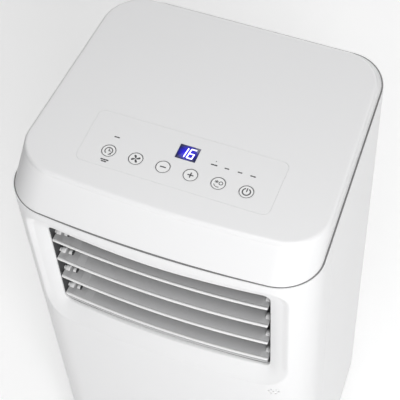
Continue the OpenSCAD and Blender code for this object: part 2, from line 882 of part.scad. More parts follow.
module compressor() {
    dome = 20;
    arm = [62, 24, 4];
    neck_r = 8;
    neck_h = 16;
    acc_z0 = 110;
    bridge_x = comp_x - acc_x + 40;
    bridge_y = comp_y - acc_y;
    bridge_z = 86;
    bridge_r = 5;
    terminal = [28, 34, 14];
    color("black") {
        translate([comp_x, comp_y, 0]) rotate_extrude()
            polygon(concat([[0, comp_z0]],
                [for (a = [-90:15:0]) [comp_r - dome + dome * cos(a), comp_z0 + dome + dome * sin(a)]],
                [for (a = [0:15:90]) [comp_r - dome + dome * cos(a), comp_z1 - dome + dome * sin(a)]],
                [[0, comp_z1]]));
        // Foot plate on three arms
        for (i = [0:2]) {
            translate([comp_x, comp_y, comp_z0 - 3]) rotate([0, 0, 30 + 120 * i])
                difference() {
                    translate([0, -arm[1] / 2, 0]) cube(arm);
                    translate([mount_x, 0, -cut]) cylinder(r = 5, h = 8);
                }
        }
        // Suction accumulator and the bent pipe under it
        translate([acc_x, acc_y, acc_z0]) cylinder(r = acc_r, h = acc_top_z - neck_h + cut - acc_z0);
        translate([acc_x, acc_y, acc_top_z - neck_h]) cylinder(r1 = acc_r, r2 = neck_r, h = neck_h);
        translate([acc_x, acc_y, acc_z0 + cut - neck_h]) cylinder(r1 = neck_r, r2 = acc_r, h = neck_h);
        translate([acc_x, acc_y, 0])
            pipe([[0, 0, bridge_z + 14], [0, 0, bridge_z], [bridge_x, bridge_y, bridge_z],
                  [bridge_x, bridge_y, bridge_z + 14]], bridge_r);
        // Terminal cover
        translate([comp_x - terminal[0] / 2, comp_y - 10, comp_z1 - 4]) cube(terminal);
    }
}

module compressor_mounts() {
    color("dimgray") for (i = [0:2]) {
        translate([comp_x, comp_y, pan_floor_z]) rotate([0, 0, 30 + 120 * i]) translate([mount_x, 0, 0]) {
            cylinder(r = 11, h = comp_z0 - 3.4 - pan_floor_z);
            cylinder(r = 4.6, h = comp_z0 + 6 - pan_floor_z);
        }
    }
}

module suction_pipe() {
    end_z = evap_coil_z0 + 0.5 * (evap_coil_z1 - evap_coil_z0) / evap_tubes;
    color("peru") pipe([[acc_x, acc_y, acc_top_z], [acc_x, acc_y, 322], [suction_x, acc_y, 322],
        [suction_x, suction_y, 322], [suction_x, suction_y, end_z], [suction_x, tube_rows[0], end_z],
        [-tube_end_x, tube_rows[0], end_z]], 4.5);
}

module discharge_pipe() {
    end_z = cond_coil_z1 - 0.5 * (cond_coil_z1 - cond_coil_z0) / cond_tubes;
    color("peru") pipe([[comp_x, comp_y - 24, comp_z1], [comp_x, comp_y - 24, 300],
        [suction_x, comp_y - 24, 300], [suction_x, tube_rows[0], 300],
        [suction_x, tube_rows[0], end_z], [-tube_end_x, tube_rows[0], end_z]], 4);
}

module capillary_tube() {
    low_z = cond_coil_z0 + 0.5 * (cond_coil_z1 - cond_coil_z0) / cond_tubes;
    high_z = evap_coil_z1 - 0.5 * (evap_coil_z1 - evap_coil_z0) / evap_tubes;
    coil_r = 10;
    coil_z = 200;
    coil_turns = 4;
    color("peru") {
        pipe([[-tube_end_x, tube_rows[0], low_z], [capillary_x, tube_rows[0], low_z],
              [capillary_x, capillary_y, low_z], [capillary_x, capillary_y, high_z],
              [capillary_x, tube_rows[0], high_z], [-tube_end_x, tube_rows[0], high_z]], 1.6);
        for (i = [0:coil_turns - 1]) {
            translate([capillary_x + coil_r, capillary_y, coil_z + 4 * i])
                rotate_extrude($fn = 48) translate([coil_r, 0]) circle(1.5, $fn = 16);
        }
    }
}

// ---- Electrics ----

ebox_low = [62, -138, 196];
ebox_high = [146, -70, 336];

module electrics_box() {
    t = 2;
    color("gainsboro") difference() {
        box(ebox_low, ebox_high);
        box(ebox_low + [t, t, t], ebox_high + [-t, cut, -t]);
    }
}

module main_board() {
    y = ebox_low[1] + 8;
    face_y = y + board_t;
    transformer = [30, 22.4, 32];
    relay = [20, 16.4, 18];
    small_relay = [11, 14.4, 14];
    color("darkgreen")
        box([ebox_low[0] + 5, y, ebox_low[2] + 6], [ebox_high[0] - 5, face_y, ebox_high[2] - 6]);
    color("black") {
        translate([74, face_y, 290]) cube(transformer);
        translate([112, face_y, 296]) cube(relay);
        for (i = [0:3]) {
            translate([72 + 16 * i, face_y, 262]) cube(small_relay);
        }
    }
    // Capacitors
    color("silver") {
        rod_y(15, face_y, y + 50, 92, 236);
        rod_y(9, face_y, y + 30, 124, 226);
    }
}

module receiver_board() {
    y = -143;
    sounder_r = 5;
    sounder_h = 4;
    color("darkgreen") box([sound_x - 13, y, sound_z - 18], [sound_x + 5, y + board_t, sound_z + 4]);
    color("black") rod_y(sounder_r, y - sounder_h, y, sound_x - 4, sound_z);
}

module cord_gland() {
    gland_l = 16;
    cord_bore_r = 4.2;
    color("dimgray") difference() {
        union() {
            rod_y(gland_r, half_d - gland_l, half_d - 0.5, gland_x, gland_z);
            rod_y(gland_r + 4, half_d - gland_l, rear_in_y - gap, gland_x, gland_z);
        }
        rod_y(cord_bore_r, half_d - 30, half_d + cut, gland_x, gland_z);
    }
}

// ---- Intakes ----

// Slats between two edges of a rounded frame
module slatted_panel(w, z0, z1, y0, y1, slats, posts) {
    mid = (z0 + z1) / 2;
    rim = 6;
    slat_t = 2;
    post_w = 2.4;
    h = z1 - z0;
    difference() {
        facing_y(0, mid, y0, y1) round_rect(w, h, opening_corner_r - gap);
        facing_y(0, mid, y0 - cut, y1 + cut) square([w - 2 * rim, h - 2 * rim], center = true);
    }
    for (i = [1:slats]) {
        z = z0 + rim + i * (h - 2 * rim) / (slats + 1);
        box([-w / 2 + rim - cut, y0 + 0.3, z - slat_t / 2], [w / 2 - rim + cut, y1 - 0.3, z + slat_t / 2]);
    }
    for (i = [1:posts]) {
        x = -w / 2 + rim + i * (w - 2 * rim) / (posts + 1);
        box([x - post_w / 2, y0 + 0.6, z0 + rim - cut], [x + post_w / 2, y1 - 0.8, z1 - rim + cut]);
    }
}

module lower_grille() {
    color("whitesmoke")
        slatted_panel(grille_w - 0.8, grille_z0 + gap, grille_z1 - gap, half_d - 6, half_d - 0.3, 19, 4);
}

module filter_frame() {
    color("whitesmoke")
        slatted_panel(filter_w - 0.8, filter_z0 + gap, filter_z1 - gap, half_d - 6, half_d - 0.3, 15, 4);
}

module filter_mesh() {
    y0 = half_d - opening_cut;
    t = 1;
    bar = 0.8;
    w = filter_w - 20;
    h = filter_z1 - filter_z0 - 20;
    mid = (filter_z0 + filter_z1) / 2;
    cells_x = 14;
    cells_z = 9;
    color("dimgray") translate([0, 0, mid]) {
        for (i = [0:cells_x]) {
            x = -w / 2 + i * w / cells_x;
            box([x - bar, y0, -h / 2 - bar], [x + bar, y0 + t, h / 2 + bar]);
        }
        for (k = [0:cells_z]) {
            z = -h / 2 + k * h / cells_z;
            box([-w / 2 - bar, y0 + 0.1, z - bar], [w / 2 + bar, y0 + t - 0.1, z + bar]);
        }
    }
}

// ---- Condensate ----

splash_x = -75;
splash_y = 88;
splash_z = pan_floor_z + 3;
splash_shaft_r = 2;

module splash_motor() {
    motor_r = 18;
    motor_h = 30;
    motor_z = splash_z + 24;
    bracket_x = splash_x - 34;
    bracket_z = splash_z + 52;
    bracket_half_d = 12;
    color("silver") {
        translate([splash_x, splash_y, motor_z]) cylinder(r = motor_r, h = motor_h);
        translate([splash_x, splash_y, splash_z + 1]) cylinder(r = splash_shaft_r, h = motor_z - splash_z);
        box([bracket_x, splash_y - bracket_half_d, bracket_z],
            [splash_x + 12, splash_y + bracket_half_d, bracket_z + 4]);
        box([bracket_x, splash_y - bracket_half_d, pan_floor_z],
            [bracket_x + 3, splash_y + bracket_half_d, bracket_z + 2]);
    }
}

module splash_wheel() {
    hub_r = 6;
    paddle = [18, 2, 12];
    paddles = 8;
    color("whitesmoke") translate([splash_x, splash_y, splash_z]) difference() {
        union() {
            cylinder(r = hub_r, h = 16);
            cylinder(r = 22, h = 2);
            for (i = [0:paddles - 1]) {
                rotate([0, 0, i * 360 / paddles]) translate([hub_r - 1, -paddle[1] / 2, 0]) cube(paddle);
            }
        }
        translate([0, 0, -cut]) cylinder(r = splash_shaft_r + pivot_fit, h = 20);
    }
}

module drain_plug() {
    color("dimgray") {
        rod_y(plug_r, half_d - 20, half_d - 1, drain_x, drain_z);
        rod_y(8, half_d - wall + 0.2, half_d - 0.3, drain_x, drain_z);
    }
}

// ---- Casters ----

axle_z = caster_r;
wheel_w = 16;
axle_r = 3;

module at_caster(side, end) {
    translate([side * caster_x, end * caster_y, 0]) children();
}

module caster_fork() {
    crown_z = 2 * caster_r + 5;
    cheek_in = wheel_w / 2 + 1;
    cheek_t = 2.6;
    color("dimgray") {
        translate([0, 0, crown_z]) cylinder(r = stem_r, h = socket_top_z - 1 - crown_z);
        translate([0, 0, crown_z]) cylinder(r = 9, h = pocket_top_z - 0.3 - crown_z);
        translate([0, 0, crown_z - 1]) cylinder(r = 14, h = 4);
        for (x = [-1, 1]) {
            translate([x * (cheek_in + cheek_t / 2) - cheek_t / 2, 0, 0]) rotate([90, 0, 90])
                linear_extrude(cheek_t) hull() {
                    translate([caster_trail, axle_z]) circle(7, $fn = 32);
                    translate([-8, crown_z]) square([16, 2.5]);
                }
        }
        rod_x(axle_r, -cheek_in - 1, cheek_in + 1, caster_trail, axle_z);
    }
}

module caster_wheel() {
    half = wheel_w / 2;
    round_r = 3;
    color("gray") translate([0, caster_trail, axle_z]) rotate([0, 90, 0]) rotate_extrude()
        polygon(concat([[axle_r + 0.06, -half]],
            [for (a = [-90:30:0]) [caster_r - round_r + round_r * cos(a), round_r - half + round_r * sin(a)]],
            [for (a = [0:30:90]) [caster_r - round_r + round_r * cos(a), half - round_r + round_r * sin(a)]],
            [[axle_r + 0.06, half]]));
}

base_pan();
front_shell();
rear_shell();
top_cover();
control_panel();
display_window();
display_digits();
key_board();
key_switches();
button(0);  // button_timer
button(1);  // button_fan
button(2);  // button_minus
button(3);  // button_plus
button(4);  // button_mode
button(5);  // button_power
outlet_frame();
vane(1);  // vane_1
vane(2);  // vane_2
vane(3);  // vane_3
vane(4);  // vane_4
vane_link();
air_duct();
evaporator_scroll();
evaporator_wheel();
evaporator_motor();
evaporator_coil();
evaporator_tubes();
drip_tray();
partition();
condenser_scroll();
condenser_wheel();
condenser_motor();
condenser_coil();
condenser_tubes();
exhaust_duct();
exhaust_collar();
compressor();
compressor_mounts();
suction_pipe();
discharge_pipe();
capillary_tube();
electrics_box();
main_board();
lower_grille();
filter_frame();
filter_mesh();
cord_gland();
receiver_board();
splash_motor();
splash_wheel();
drain_plug();
shell_screws();
at_caster(-1, -1) caster_fork();  // caster_fork_fl
at_caster(1, -1) caster_fork();  // caster_fork_fr
at_caster(-1, 1) caster_fork();  // caster_fork_rl
at_caster(1, 1) caster_fork();  // caster_fork_rr
at_caster(-1, -1) caster_wheel();  // caster_wheel_fl
at_caster(1, -1) caster_wheel();  // caster_wheel_fr
at_caster(-1, 1) caster_wheel();  // caster_wheel_rl
at_caster(1, 1) caster_wheel();  // caster_wheel_rr
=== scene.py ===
"""Portable air conditioner on casters: detailed pieces, materials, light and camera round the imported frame.

Lengths are millimetres in the frame's axes: +Z is up, the front faces -Y, and the origin is on the floor.
"""
import math

import bmesh
import bpy
import numpy as np
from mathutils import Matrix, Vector


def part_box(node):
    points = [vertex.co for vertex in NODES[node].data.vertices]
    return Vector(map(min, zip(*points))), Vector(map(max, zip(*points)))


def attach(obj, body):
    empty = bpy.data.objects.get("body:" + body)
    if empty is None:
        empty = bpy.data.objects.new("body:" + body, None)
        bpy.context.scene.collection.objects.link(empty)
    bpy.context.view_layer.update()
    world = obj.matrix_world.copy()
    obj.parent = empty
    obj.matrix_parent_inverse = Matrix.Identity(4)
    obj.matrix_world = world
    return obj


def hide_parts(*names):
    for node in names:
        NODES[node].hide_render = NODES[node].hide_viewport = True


MM = 0.001

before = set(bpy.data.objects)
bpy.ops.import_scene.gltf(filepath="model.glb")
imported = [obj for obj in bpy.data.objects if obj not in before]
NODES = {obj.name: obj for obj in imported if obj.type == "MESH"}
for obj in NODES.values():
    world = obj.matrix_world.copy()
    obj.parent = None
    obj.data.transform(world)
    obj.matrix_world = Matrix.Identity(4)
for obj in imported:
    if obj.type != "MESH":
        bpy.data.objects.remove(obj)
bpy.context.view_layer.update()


def span(node):
    """Lowest and highest corner of a CAD node, in millimetres."""
    low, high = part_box(node)
    return np.array(low) / MM, np.array(high) / MM


def middle_and_half(node):
    """Middle of a CAD node and half of its size, in millimetres."""
    low, high = span(node)
    return (low + high) / 2, (high - low) / 2


# ---- Driving dimensions ----

CORNER_STEPS = 24
SIDE_STEPS = 48
CORNER_R = 45
FRONT_BOW = 11
PLAN_TAPER = 0.05
WALL = 2.6
HALF_W = 164
HALF_D = span("base_pan")[1][1]
TOP_Z = span("top_cover")[1][2]
SHELL_Z0 = span("front_shell")[0][2]
SEAM_Z = span("front_shell")[1][2]
SPLIT_Y = span("front_shell")[1][1]
SPLIT_GAP = 0.8
EDGE_ROUND = 0.7
SHARP_ANGLE = 40


# ---- Mesh helpers ----

def arc(x, y, radius, start, steps=CORNER_STEPS):
    """Points of a quarter circle, from an angle in degrees."""
    angles = np.radians(start + 90 * np.arange(steps + 1) / steps)
    return np.column_stack([x + radius * np.cos(angles), y + radius * np.sin(angles)])


def quarter(steps):
    """Angles from nothing to a right angle, in radians."""
    return [math.radians(90 * k / steps) for k in range(steps + 1)]


def rounding(radius, steps):
    """Steps round an edge from side to end, as (distance from the side, distance from the end) pairs."""
    return [(radius * (1 - math.cos(a)), radius * (1 - math.sin(a))) for a in quarter(steps)]


def resample(path, count):
    """The path as equal steps along its length, with both of its ends."""
    steps = np.linalg.norm(np.diff(path, axis=0), axis=1)
    along = np.concatenate([[0], np.cumsum(steps)])
    where = np.linspace(0, along[-1], count + 1)
    return np.column_stack([np.interp(where, along, path[:, k]) for k in range(path.shape[1])])


def smooth_step(t):
    """0 to 1 with level ends."""
    t = np.clip(t, 0, 1)
    return t * t * (3 - 2 * t)


class Builder:
    """Collects points and faces of a mesh."""

    def __init__(self):
        self.points = []
        self.faces = []

    def add(self, points):
        """Adds a row of points and returns their numbers."""
        start = len(self.points)
        self.points.extend(tuple(p) for p in points)
        return list(range(start, len(self.points)))

    def strip(self, row, following, closed=True):
        """Quads between two rows with the same number of points."""
        count = len(row) if closed else len(row) - 1
        for i in range(count):
            j = (i + 1) % len(row)
            self.faces.append((row[i], row[j], following[j], following[i]))

    def skin(self, rings, closed=True):
        """A skin over rings of points, open at both ends. Returns the numbers of the points."""
        rows = [self.add(ring) for ring in rings]
        for row, following in zip(rows, rows[1:]):
            self.strip(row, following, closed)
        return rows

    def solid(self, rings):
        """A skin over rings of points, with flat ends."""
        rows = self.skin(rings)
        self.faces += [tuple(reversed(rows[0])), tuple(rows[-1])]

    def band(self, rings):
        """A skin over rings of points, whose last ring joins the first."""
        rows = self.skin(rings)
        self.strip(rows[-1], rows[0])

    def finish(self, name, material, sharp=SHARP_ANGLE):
        """Makes the object, with its faces turned outwards and its shading smooth up to an angle."""
        mesh = bpy.data.meshes.new(name)
        mesh.from_pydata([Vector(p) * MM for p in self.points], [], self.faces)
        obj = bpy.data.objects.new(name, mesh)
        bpy.context.scene.collection.objects.link(obj)
        obj.data.materials.append(material)
        turn_outwards(obj)
        mark_sharp(obj, sharp)
        return obj


def turn_outwards(obj):
    """Turns the faces outwards."""
    work = bmesh.new()
    work.from_mesh(obj.data)
    bmesh.ops.recalc_face_normals(work, faces=work.faces)
    middle = sum((v.co for v in work.verts), Vector()) / len(work.verts)
    outward = sum(f.calc_area() * f.normal.dot(f.calc_center_median() - middle) for f in work.faces)
    if outward < 0:
        bmesh.ops.reverse_faces(work, faces=work.faces)
    work.to_mesh(obj.data)
    work.free()


def settle(obj):
    """Applies the modifiers."""
    graph = bpy.context.evaluated_depsgraph_get()
    mesh = bpy.data.meshes.new_from_object(obj.evaluated_get(graph))
    obj.modifiers.clear()
    obj.data = mesh
    mark_sharp(obj, SHARP_ANGLE)


def mark_sharp(obj, sharp):
    """Smooth shading up to an angle, with the faces left as they are."""
    work = bmesh.new()
    work.from_mesh(obj.data)
    limit = math.radians(sharp)
    for face in work.faces:
        face.smooth = True
    for edge in work.edges:
        edge.smooth = len(edge.link_faces) == 2 and edge.calc_face_angle(0) < limit
    work.to_mesh(obj.data)
    work.free()


def thicken(obj, thickness):
    """Gives a skin a wall behind its outer face."""
    solid = obj.modifiers.new("wall", "SOLIDIFY")
    solid.thickness = thickness * MM
    solid.offset = -1
    solid.use_even_offset = True
    settle(obj)


def round_edges(obj, width, steps=3):
    """Rounds the edges sharper than an angle."""
    bevel = obj.modifiers.new("round", "BEVEL")
    bevel.width = width * MM
    bevel.segments = steps
    bevel.limit_method = "ANGLE"
    bevel.angle_limit = math.radians(50)
    bevel.miter_outer = "MITER_ARC"
    settle(obj)


def softened(node, width, material, body="cabinet"):
    """Stands in for a CAD node: the same solid with its sharp edges rounded."""
    obj = bpy.data.objects.new(node + "_piece", NODES[node].data.copy())
    bpy.context.scene.collection.objects.link(obj)
    obj.data.materials.clear()
    obj.data.materials.append(material)
    work = bmesh.new()
    work.from_mesh(obj.data)
    bmesh.ops.remove_doubles(work, verts=work.verts, dist=0.01 * MM)
    bmesh.ops.dissolve_limit(work, angle_limit=math.radians(1), verts=work.verts, edges=work.edges)
    work.to_mesh(obj.data)
    work.free()
    round_edges(obj, width, 2)
    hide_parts(node)
    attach(obj, body)


def cut(obj, cutters):
    """Cuts closed meshes out of an object."""
    for cutter in cutters:
        hole = obj.modifiers.new("cut", "BOOLEAN")
        hole.operation = "DIFFERENCE"
        hole.solver = "EXACT"
        hole.object = cutter
    settle(obj)
    for cutter in cutters:
        bpy.data.objects.remove(cutter)
    return obj


def round_rect(half_w, half_h, radius, steps=8):
    """Points of a rounded rectangle round the origin."""
    corners = [(half_w, half_h, 0), (-half_w, half_h, 90), (-half_w, -half_h, 180), (half_w, -half_h, 270)]
    return np.vstack([arc(x - math.copysign(radius, x), y - math.copysign(radius, y), radius, start, steps)
                      for x, y, start in corners])


def circle(radius, steps=48):
    """Points of a circle round the origin."""
    angles = 2 * math.pi * np.arange(steps) / steps
    return np.column_stack([radius * np.cos(angles), radius * np.sin(angles)])


def facing_y(points, x, z, y):
    """Puts flat points into an upright plane that faces front and back."""
    return [(x + p[0], y, z + p[1]) for p in points]


def facing_z(points, x, y, z):
    """Puts flat points into a level plane."""
    return [(x + p[0], y + p[1], z) for p in points]


def prism_y(name, points, x, z, y0, y1, material):
    """A straight prism from front to back."""
    work = Builder()
    work.solid([facing_y(points, x, z, y) for y in (y0, y1)])
    return work.finish(name, material)


def prism_z(name, points, x, y, z0, z1, material):
    """An upright prism."""
    work = Builder()
    work.solid([facing_z(points, x, y, z) for z in (z0, z1)])
    return work.finish(name, material)


def lathe(work, profile, place, steps=48):
    """Adds a turned solid: profile gives (radius, height), place turns (across, up, height) to xyz."""
    work.solid([[place(*p, height) for p in circle(radius, steps)] for radius, height in profile])


def rounded_profile(radius, low, high, edge, steps=4):
    """Profile of a cylinder with a rounded edge at both ends."""
    start = [(radius - q, low + p) for p, q in rounding(edge, steps)]
    end = [(radius - p, high - q) for p, q in rounding(edge, steps)]
    return start + end


# ---- Outline of the cabinet ----

def plan(a, b, radius, bow):
    """A rounded rectangle with a bowed front, whose sides close in towards the back."""
    across = (a - radius) * (1 - 2 * np.arange(1, SIDE_STEPS) / SIDE_STEPS)
    raw = np.vstack([
        arc(a - radius, b - radius, radius, 0), np.column_stack([across, np.full_like(across, b)]),
        arc(radius - a, b - radius, radius, 90), arc(radius - a, radius - b, radius, 180),
        np.column_stack([-across, np.full_like(across, -b)]), arc(a - radius, radius - b, radius, 270),
    ])
    x, y = raw.T
    bowed = np.where(y < 0, y * (1 - bow / b * (x / a) ** 2), y)
    return np.column_stack([x * (1 - PLAN_TAPER * y / HALF_D), bowed])


class Outline:
    """A closed outline, walked by distance from the middle of its front."""

    def __init__(self, points):
        first = int(np.argmin(np.abs(points[:, 0]) + (points[:, 1] > 0) * HALF_W))
        points = np.roll(points, -first, axis=0)
        self.points = np.vstack([points, points[:1]])
        steps = np.linalg.norm(np.diff(self.points, axis=0), axis=1)
        self.along = np.concatenate([[0], np.cumsum(steps)])
        self.length = self.along[-1]

    def spot(self, s):
        """The place at a distance along the outline."""
        s = np.mod(s, self.length)
        return np.column_stack([np.interp(s, self.along, self.points[:, k]) for k in (0, 1)])

    def place(self, s, depth=0):
        """The place at a distance along the outline, and a depth behind it."""
        s = np.atleast_1d(np.asarray(s, float))
        reach = 1.5
        tangent = self.spot(s + reach) - self.spot(s - reach)
        tangent /= np.linalg.norm(tangent, axis=1)[:, None]
        inward = np.column_stack([-tangent[:, 1], tangent[:, 0]])
        return self.spot(s) + inward * np.reshape(depth, (-1, 1))

    def distance_to_side(self, y):
        """The distance at which the right side reaches a y."""
        half = len(self.points) // 2
        return float(np.interp(y, self.points[:half, 1], self.along[:half]))


BODY = Outline(plan(HALF_W, HALF_D, CORNER_R, FRONT_BOW))


def front_y(x):
    """Where the bowed front stands at an x."""
    return -HALF_D + FRONT_BOW * (np.asarray(x, float) / HALF_W) ** 2


# ---- Materials ----

def new_material(name):
    """A material and its shader node."""
    material = bpy.data.materials.new(name)
    material.use_nodes = True
    shader = material.node_tree.nodes["Principled BSDF"]
    return material, material.node_tree, shader


def noise(tree, scale, detail=3.0, stretch=(1, 1, 1)):
    """Noise laid over the piece in its own space."""
    place = tree.nodes.new("ShaderNodeTexCoord")
    shape = tree.nodes.new("ShaderNodeMapping")
    shape.inputs["Scale"].default_value = stretch
    texture = tree.nodes.new("ShaderNodeTexNoise")
    texture.inputs["Scale"].default_value = scale
    texture.inputs["Detail"].default_value = detail
    tree.links.new(place.outputs["Object"], shape.inputs["Vector"])
    tree.links.new(shape.outputs["Vector"], texture.inputs["Vector"])
    return texture.outputs["Fac"]


NOISE_LOW = 0.15
NOISE_HIGH = 0.85


def spread(tree, value, low, high):
    """Spreads a noise value between two numbers."""
    ranged = tree.nodes.new("ShaderNodeMapRange")
    ranged.inputs["From Min"].default_value = NOISE_LOW
    ranged.inputs["From Max"].default_value = NOISE_HIGH
    ranged.inputs["To Min"].default_value = low
    ranged.inputs["To Max"].default_value = high
    tree.links.new(value, ranged.inputs["Value"])
    return ranged.outputs["Result"]


def tint(tree, value, first, second):
    """A colour between two, led by a noise value."""
    ramp = tree.nodes.new("ShaderNodeValToRGB")
    ramp.color_ramp.elements[0].position = NOISE_LOW
    ramp.color_ramp.elements[0].color = (*first, 1)
    ramp.color_ramp.elements[1].position = NOISE_HIGH
    ramp.color_ramp.elements[1].color = (*second, 1)
    tree.links.new(value, ramp.inputs["Fac"])
    return ramp.outputs["Color"]


def relief(tree, shader, value, strength, height):
    """Raises the surface slightly where a value is high; height is in millimetres."""
    bump = tree.nodes.new("ShaderNodeBump")
    bump.inputs["Strength"].default_value = strength
    bump.inputs["Distance"].default_value = height * MM
    tree.links.new(value, bump.inputs["Height"])
    tree.links.new(bump.outputs["Normal"], shader.inputs["Normal"])


def plastic(name, colour, gloss, drift, grain=900, depth=0.02, strength=0.2):
    """Moulded plastic: faint drift of colour, uneven gloss and a fine moulded grain."""
    material, tree, shader = new_material(name)
    light = tuple(min(1.0, c * (1 + drift)) for c in colour)
    dark = tuple(c * (1 - drift) for c in colour)
    tree.links.new(tint(tree, noise(tree, 9), dark, light), shader.inputs["Base Color"])
    tree.links.new(spread(tree, noise(tree, 14, 1.5), *gloss), shader.inputs["Roughness"])
    relief(tree, shader, noise(tree, grain, 2), strength, depth)
    shader.inputs["IOR"].default_value = 1.5
    return material


def metal(name, colour, gloss=(0.25, 0.45), stretch=(1, 1, 1)):
    """Bare metal with uneven shine and fine drawn marks."""
    material, tree, shader = new_material(name)
    dark = tuple(c * 0.8 for c in colour)
    tree.links.new(tint(tree, noise(tree, 25), dark, colour), shader.inputs["Base Color"])
    tree.links.new(spread(tree, noise(tree, 90, stretch=stretch), *gloss), shader.inputs["Roughness"])
    relief(tree, shader, noise(tree, 500, 2, stretch), 0.3, 0.03)
    shader.inputs["Metallic"].default_value = 1
    return material


SHELL_WHITE = plastic("shell_white", (0.80, 0.80, 0.805), gloss=(0.275, 0.285), drift=0.002, strength=0.02)
PANEL_WHITE = plastic("panel_white", (0.80, 0.80, 0.805), gloss=(0.215, 0.225), drift=0.002, strength=0.02)
BUTTON_WHITE = plastic("button_white", (0.83, 0.83, 0.83), gloss=(0.3, 0.34), drift=0.005, strength=0.05)
VANE_WHITE = plastic("vane_white", (0.82, 0.82, 0.82), gloss=(0.28, 0.32), drift=0.006, strength=0.05)
# Vane blades: a grey copy of the white vane plastic, painted shade for the shadow inside the outlet.
VANE_SHADE_GREY = plastic("vane_plastic", (0.62, 0.62, 0.625), gloss=(0.36, 0.44), drift=0.015)
# Outlet frame: near black, a painted shade for the shadowed walls round the vanes.
FRAME_PAINTED_SHADE = plastic("outlet_frame_painted_shade", (0.05, 0.05, 0.052), gloss=(0.45, 0.6), drift=0.08)
# Seam strip: dark grey, a painted shade for the shadow in the gap under the cover.
SEAM_SHADE_GREY = plastic("seam_shade_strip", (0.18, 0.18, 0.182), gloss=(0.7, 0.9), drift=0.2, grain=700)
INK = plastic("ink_grey", (0.06, 0.06, 0.065), gloss=(0.4, 0.5), drift=0.1)
DARK_PLASTIC = plastic("dark_plastic", (0.03, 0.03, 0.032), gloss=(0.45, 0.6), drift=0.1)
CASTER_GREY = plastic("caster_fork_plastic", (0.10, 0.10, 0.105), gloss=(0.35, 0.5), drift=0.08)
WHEEL_GREY = plastic("caster_wheel_plastic", (0.22, 0.22, 0.225), gloss=(0.4, 0.55), drift=0.08, grain=500)
RUBBER = plastic("rubber_grey", (0.05, 0.05, 0.052), gloss=(0.6, 0.8), drift=0.12, grain=600, depth=0.05)
FOAM = plastic("duct_foam", (0.16, 0.16, 0.165), gloss=(0.8, 0.95), drift=0.2, grain=350, depth=0.4)
FAN_GREY = plastic("wheel_plastic", (0.10, 0.10, 0.11), gloss=(0.4, 0.5), drift=0.08)
BOARD_GREEN = plastic("circuit_board", (0.02, 0.16, 0.06), gloss=(0.3, 0.45), drift=0.15)
STEEL = metal("motor_steel", (0.62, 0.62, 0.63))
FINS = metal("fin_aluminium", (0.75, 0.76, 0.78), gloss=(0.3, 0.5), stretch=(12, 1, 1))
COPPER = metal("tube_copper", (0.80, 0.42, 0.28))
PAINT_BLACK = plastic("compressor_black", (0.015, 0.015, 0.016), gloss=(0.35, 0.5), drift=0.2, grain=200)


# ---- Cabinet shells ----

RECESS_DEPTH = 8
SIDE_EXTRA_DEPTH = 3.4
WALL_SHARE = 0.76
WALL_END = 0.34
SIDE_TILT = 0.62
RIM_SOFTNESS = 0.04
SCOOP_HALF_W = 148
SCOOP_LOW_Z = 453
SCOOP_HIGH_Z = 654
SCOOP_LOW_R = 38
SCOOP_HIGH_R = 25
OPENING_HALF_W = 126
OPENING_LOW_Z = 481
OPENING_HIGH_Z = 630
OPENING_R = 9
OPENING_EDGE = 1.4
LIP_DEPTH = 13.2
BLOCK_HALF_W = 162
BLOCK_LOW_Z = 442
BLOCK_HIGH_Z = 660
GRID_STEP = 4


def steps_between(low, high, size=GRID_STEP):
    """Evenly spaced values from low to high, at most a size apart."""
    return np.linspace(low, high, max(1, math.ceil((high - low) / size)) + 1)


def rounded_ring(half_w, low_z, high_z, low_r, high_r, across, up):
    """Points round a rounded opening from its lower left corner, as steps across, up, back and down."""
    corners = [
        arc(low_r - half_w, low_z + low_r, low_r, 180), arc(half_w - low_r, low_z + low_r, low_r, 270),
        arc(half_w - high_r, high_z - high_r, high_r, 0), arc(high_r - half_w, high_z - high_r, high_r, 90),
    ]
    half = CORNER_STEPS // 2
    sides = []
    for side, count in enumerate((across, up, across, up)):
        path = np.vstack([corners[side][half:], corners[(side + 1) % 4][:half + 1]])
        sides.append(resample(path, count)[:-1])
    return np.vstack(sides)


def wall_points(ring, depth):
    """Places on the cabinet's wall for (distance along it, height) pairs."""
    flat = BODY.place(ring[:, 0], depth)
    return np.column_stack([flat, ring[:, 1]])


def opening_ring(grow, across, up):
    """A ring round the opening, larger than it by an amount."""
    radius = OPENING_R + grow
    return rounded_ring(OPENING_HALF_W + grow, OPENING_LOW_Z - grow, OPENING_HIGH_Z + grow,
                        radius, radius, across, up)


def scoop_rings(across, up):
    """Rings of (distance, height) with their depths, from the scoop's rim into the opening.

    Below the opening the floor ramps gently. Elsewhere a steep wall leads to a flatter floor, and on the
    left and right the floor is deeper and slopes more evenly.
    """
    rim = rounded_ring(SCOOP_HALF_W, SCOOP_LOW_Z, SCOOP_HIGH_Z, SCOOP_LOW_R, SCOOP_HIGH_R, across, up)
    foot = opening_ring(OPENING_EDGE, across, up)
    rise = foot - rim
    heading = rise / np.linalg.norm(rise, axis=1)[:, None]
    gentle = smooth_step((heading[:, 1] - 0.35) / 0.5)
    sideways = smooth_step(np.abs(heading[:, 0]))
    floor_depth = RECESS_DEPTH + SIDE_EXTRA_DEPTH * sideways
    wall_share = WALL_SHARE - SIDE_TILT * sideways
    rings = []
    for t in np.concatenate([np.linspace(0, 0.36, 13), np.linspace(0.45, 1, 6)]):
        steep = wall_share * smooth_step(t / WALL_END) + (1 - wall_share) * t
        ramp = t - RIM_SOFTNESS * math.exp(-t / RIM_SOFTNESS) + RIM_SOFTNESS * (1 - t)
        depth = floor_depth * ((1 - gentle) * steep + gentle * ramp)
        rings.append((rim + rise * t, depth if t > 0 else np.zeros(len(rim))))
    for deeper, grow in rounding(OPENING_EDGE, 4)[1:]:
        rings.append((opening_ring(grow, across, up), floor_depth + deeper))
    last = rings[-1][0]
    rings.append((last, np.full(len(last), LIP_DEPTH)))
    return rings


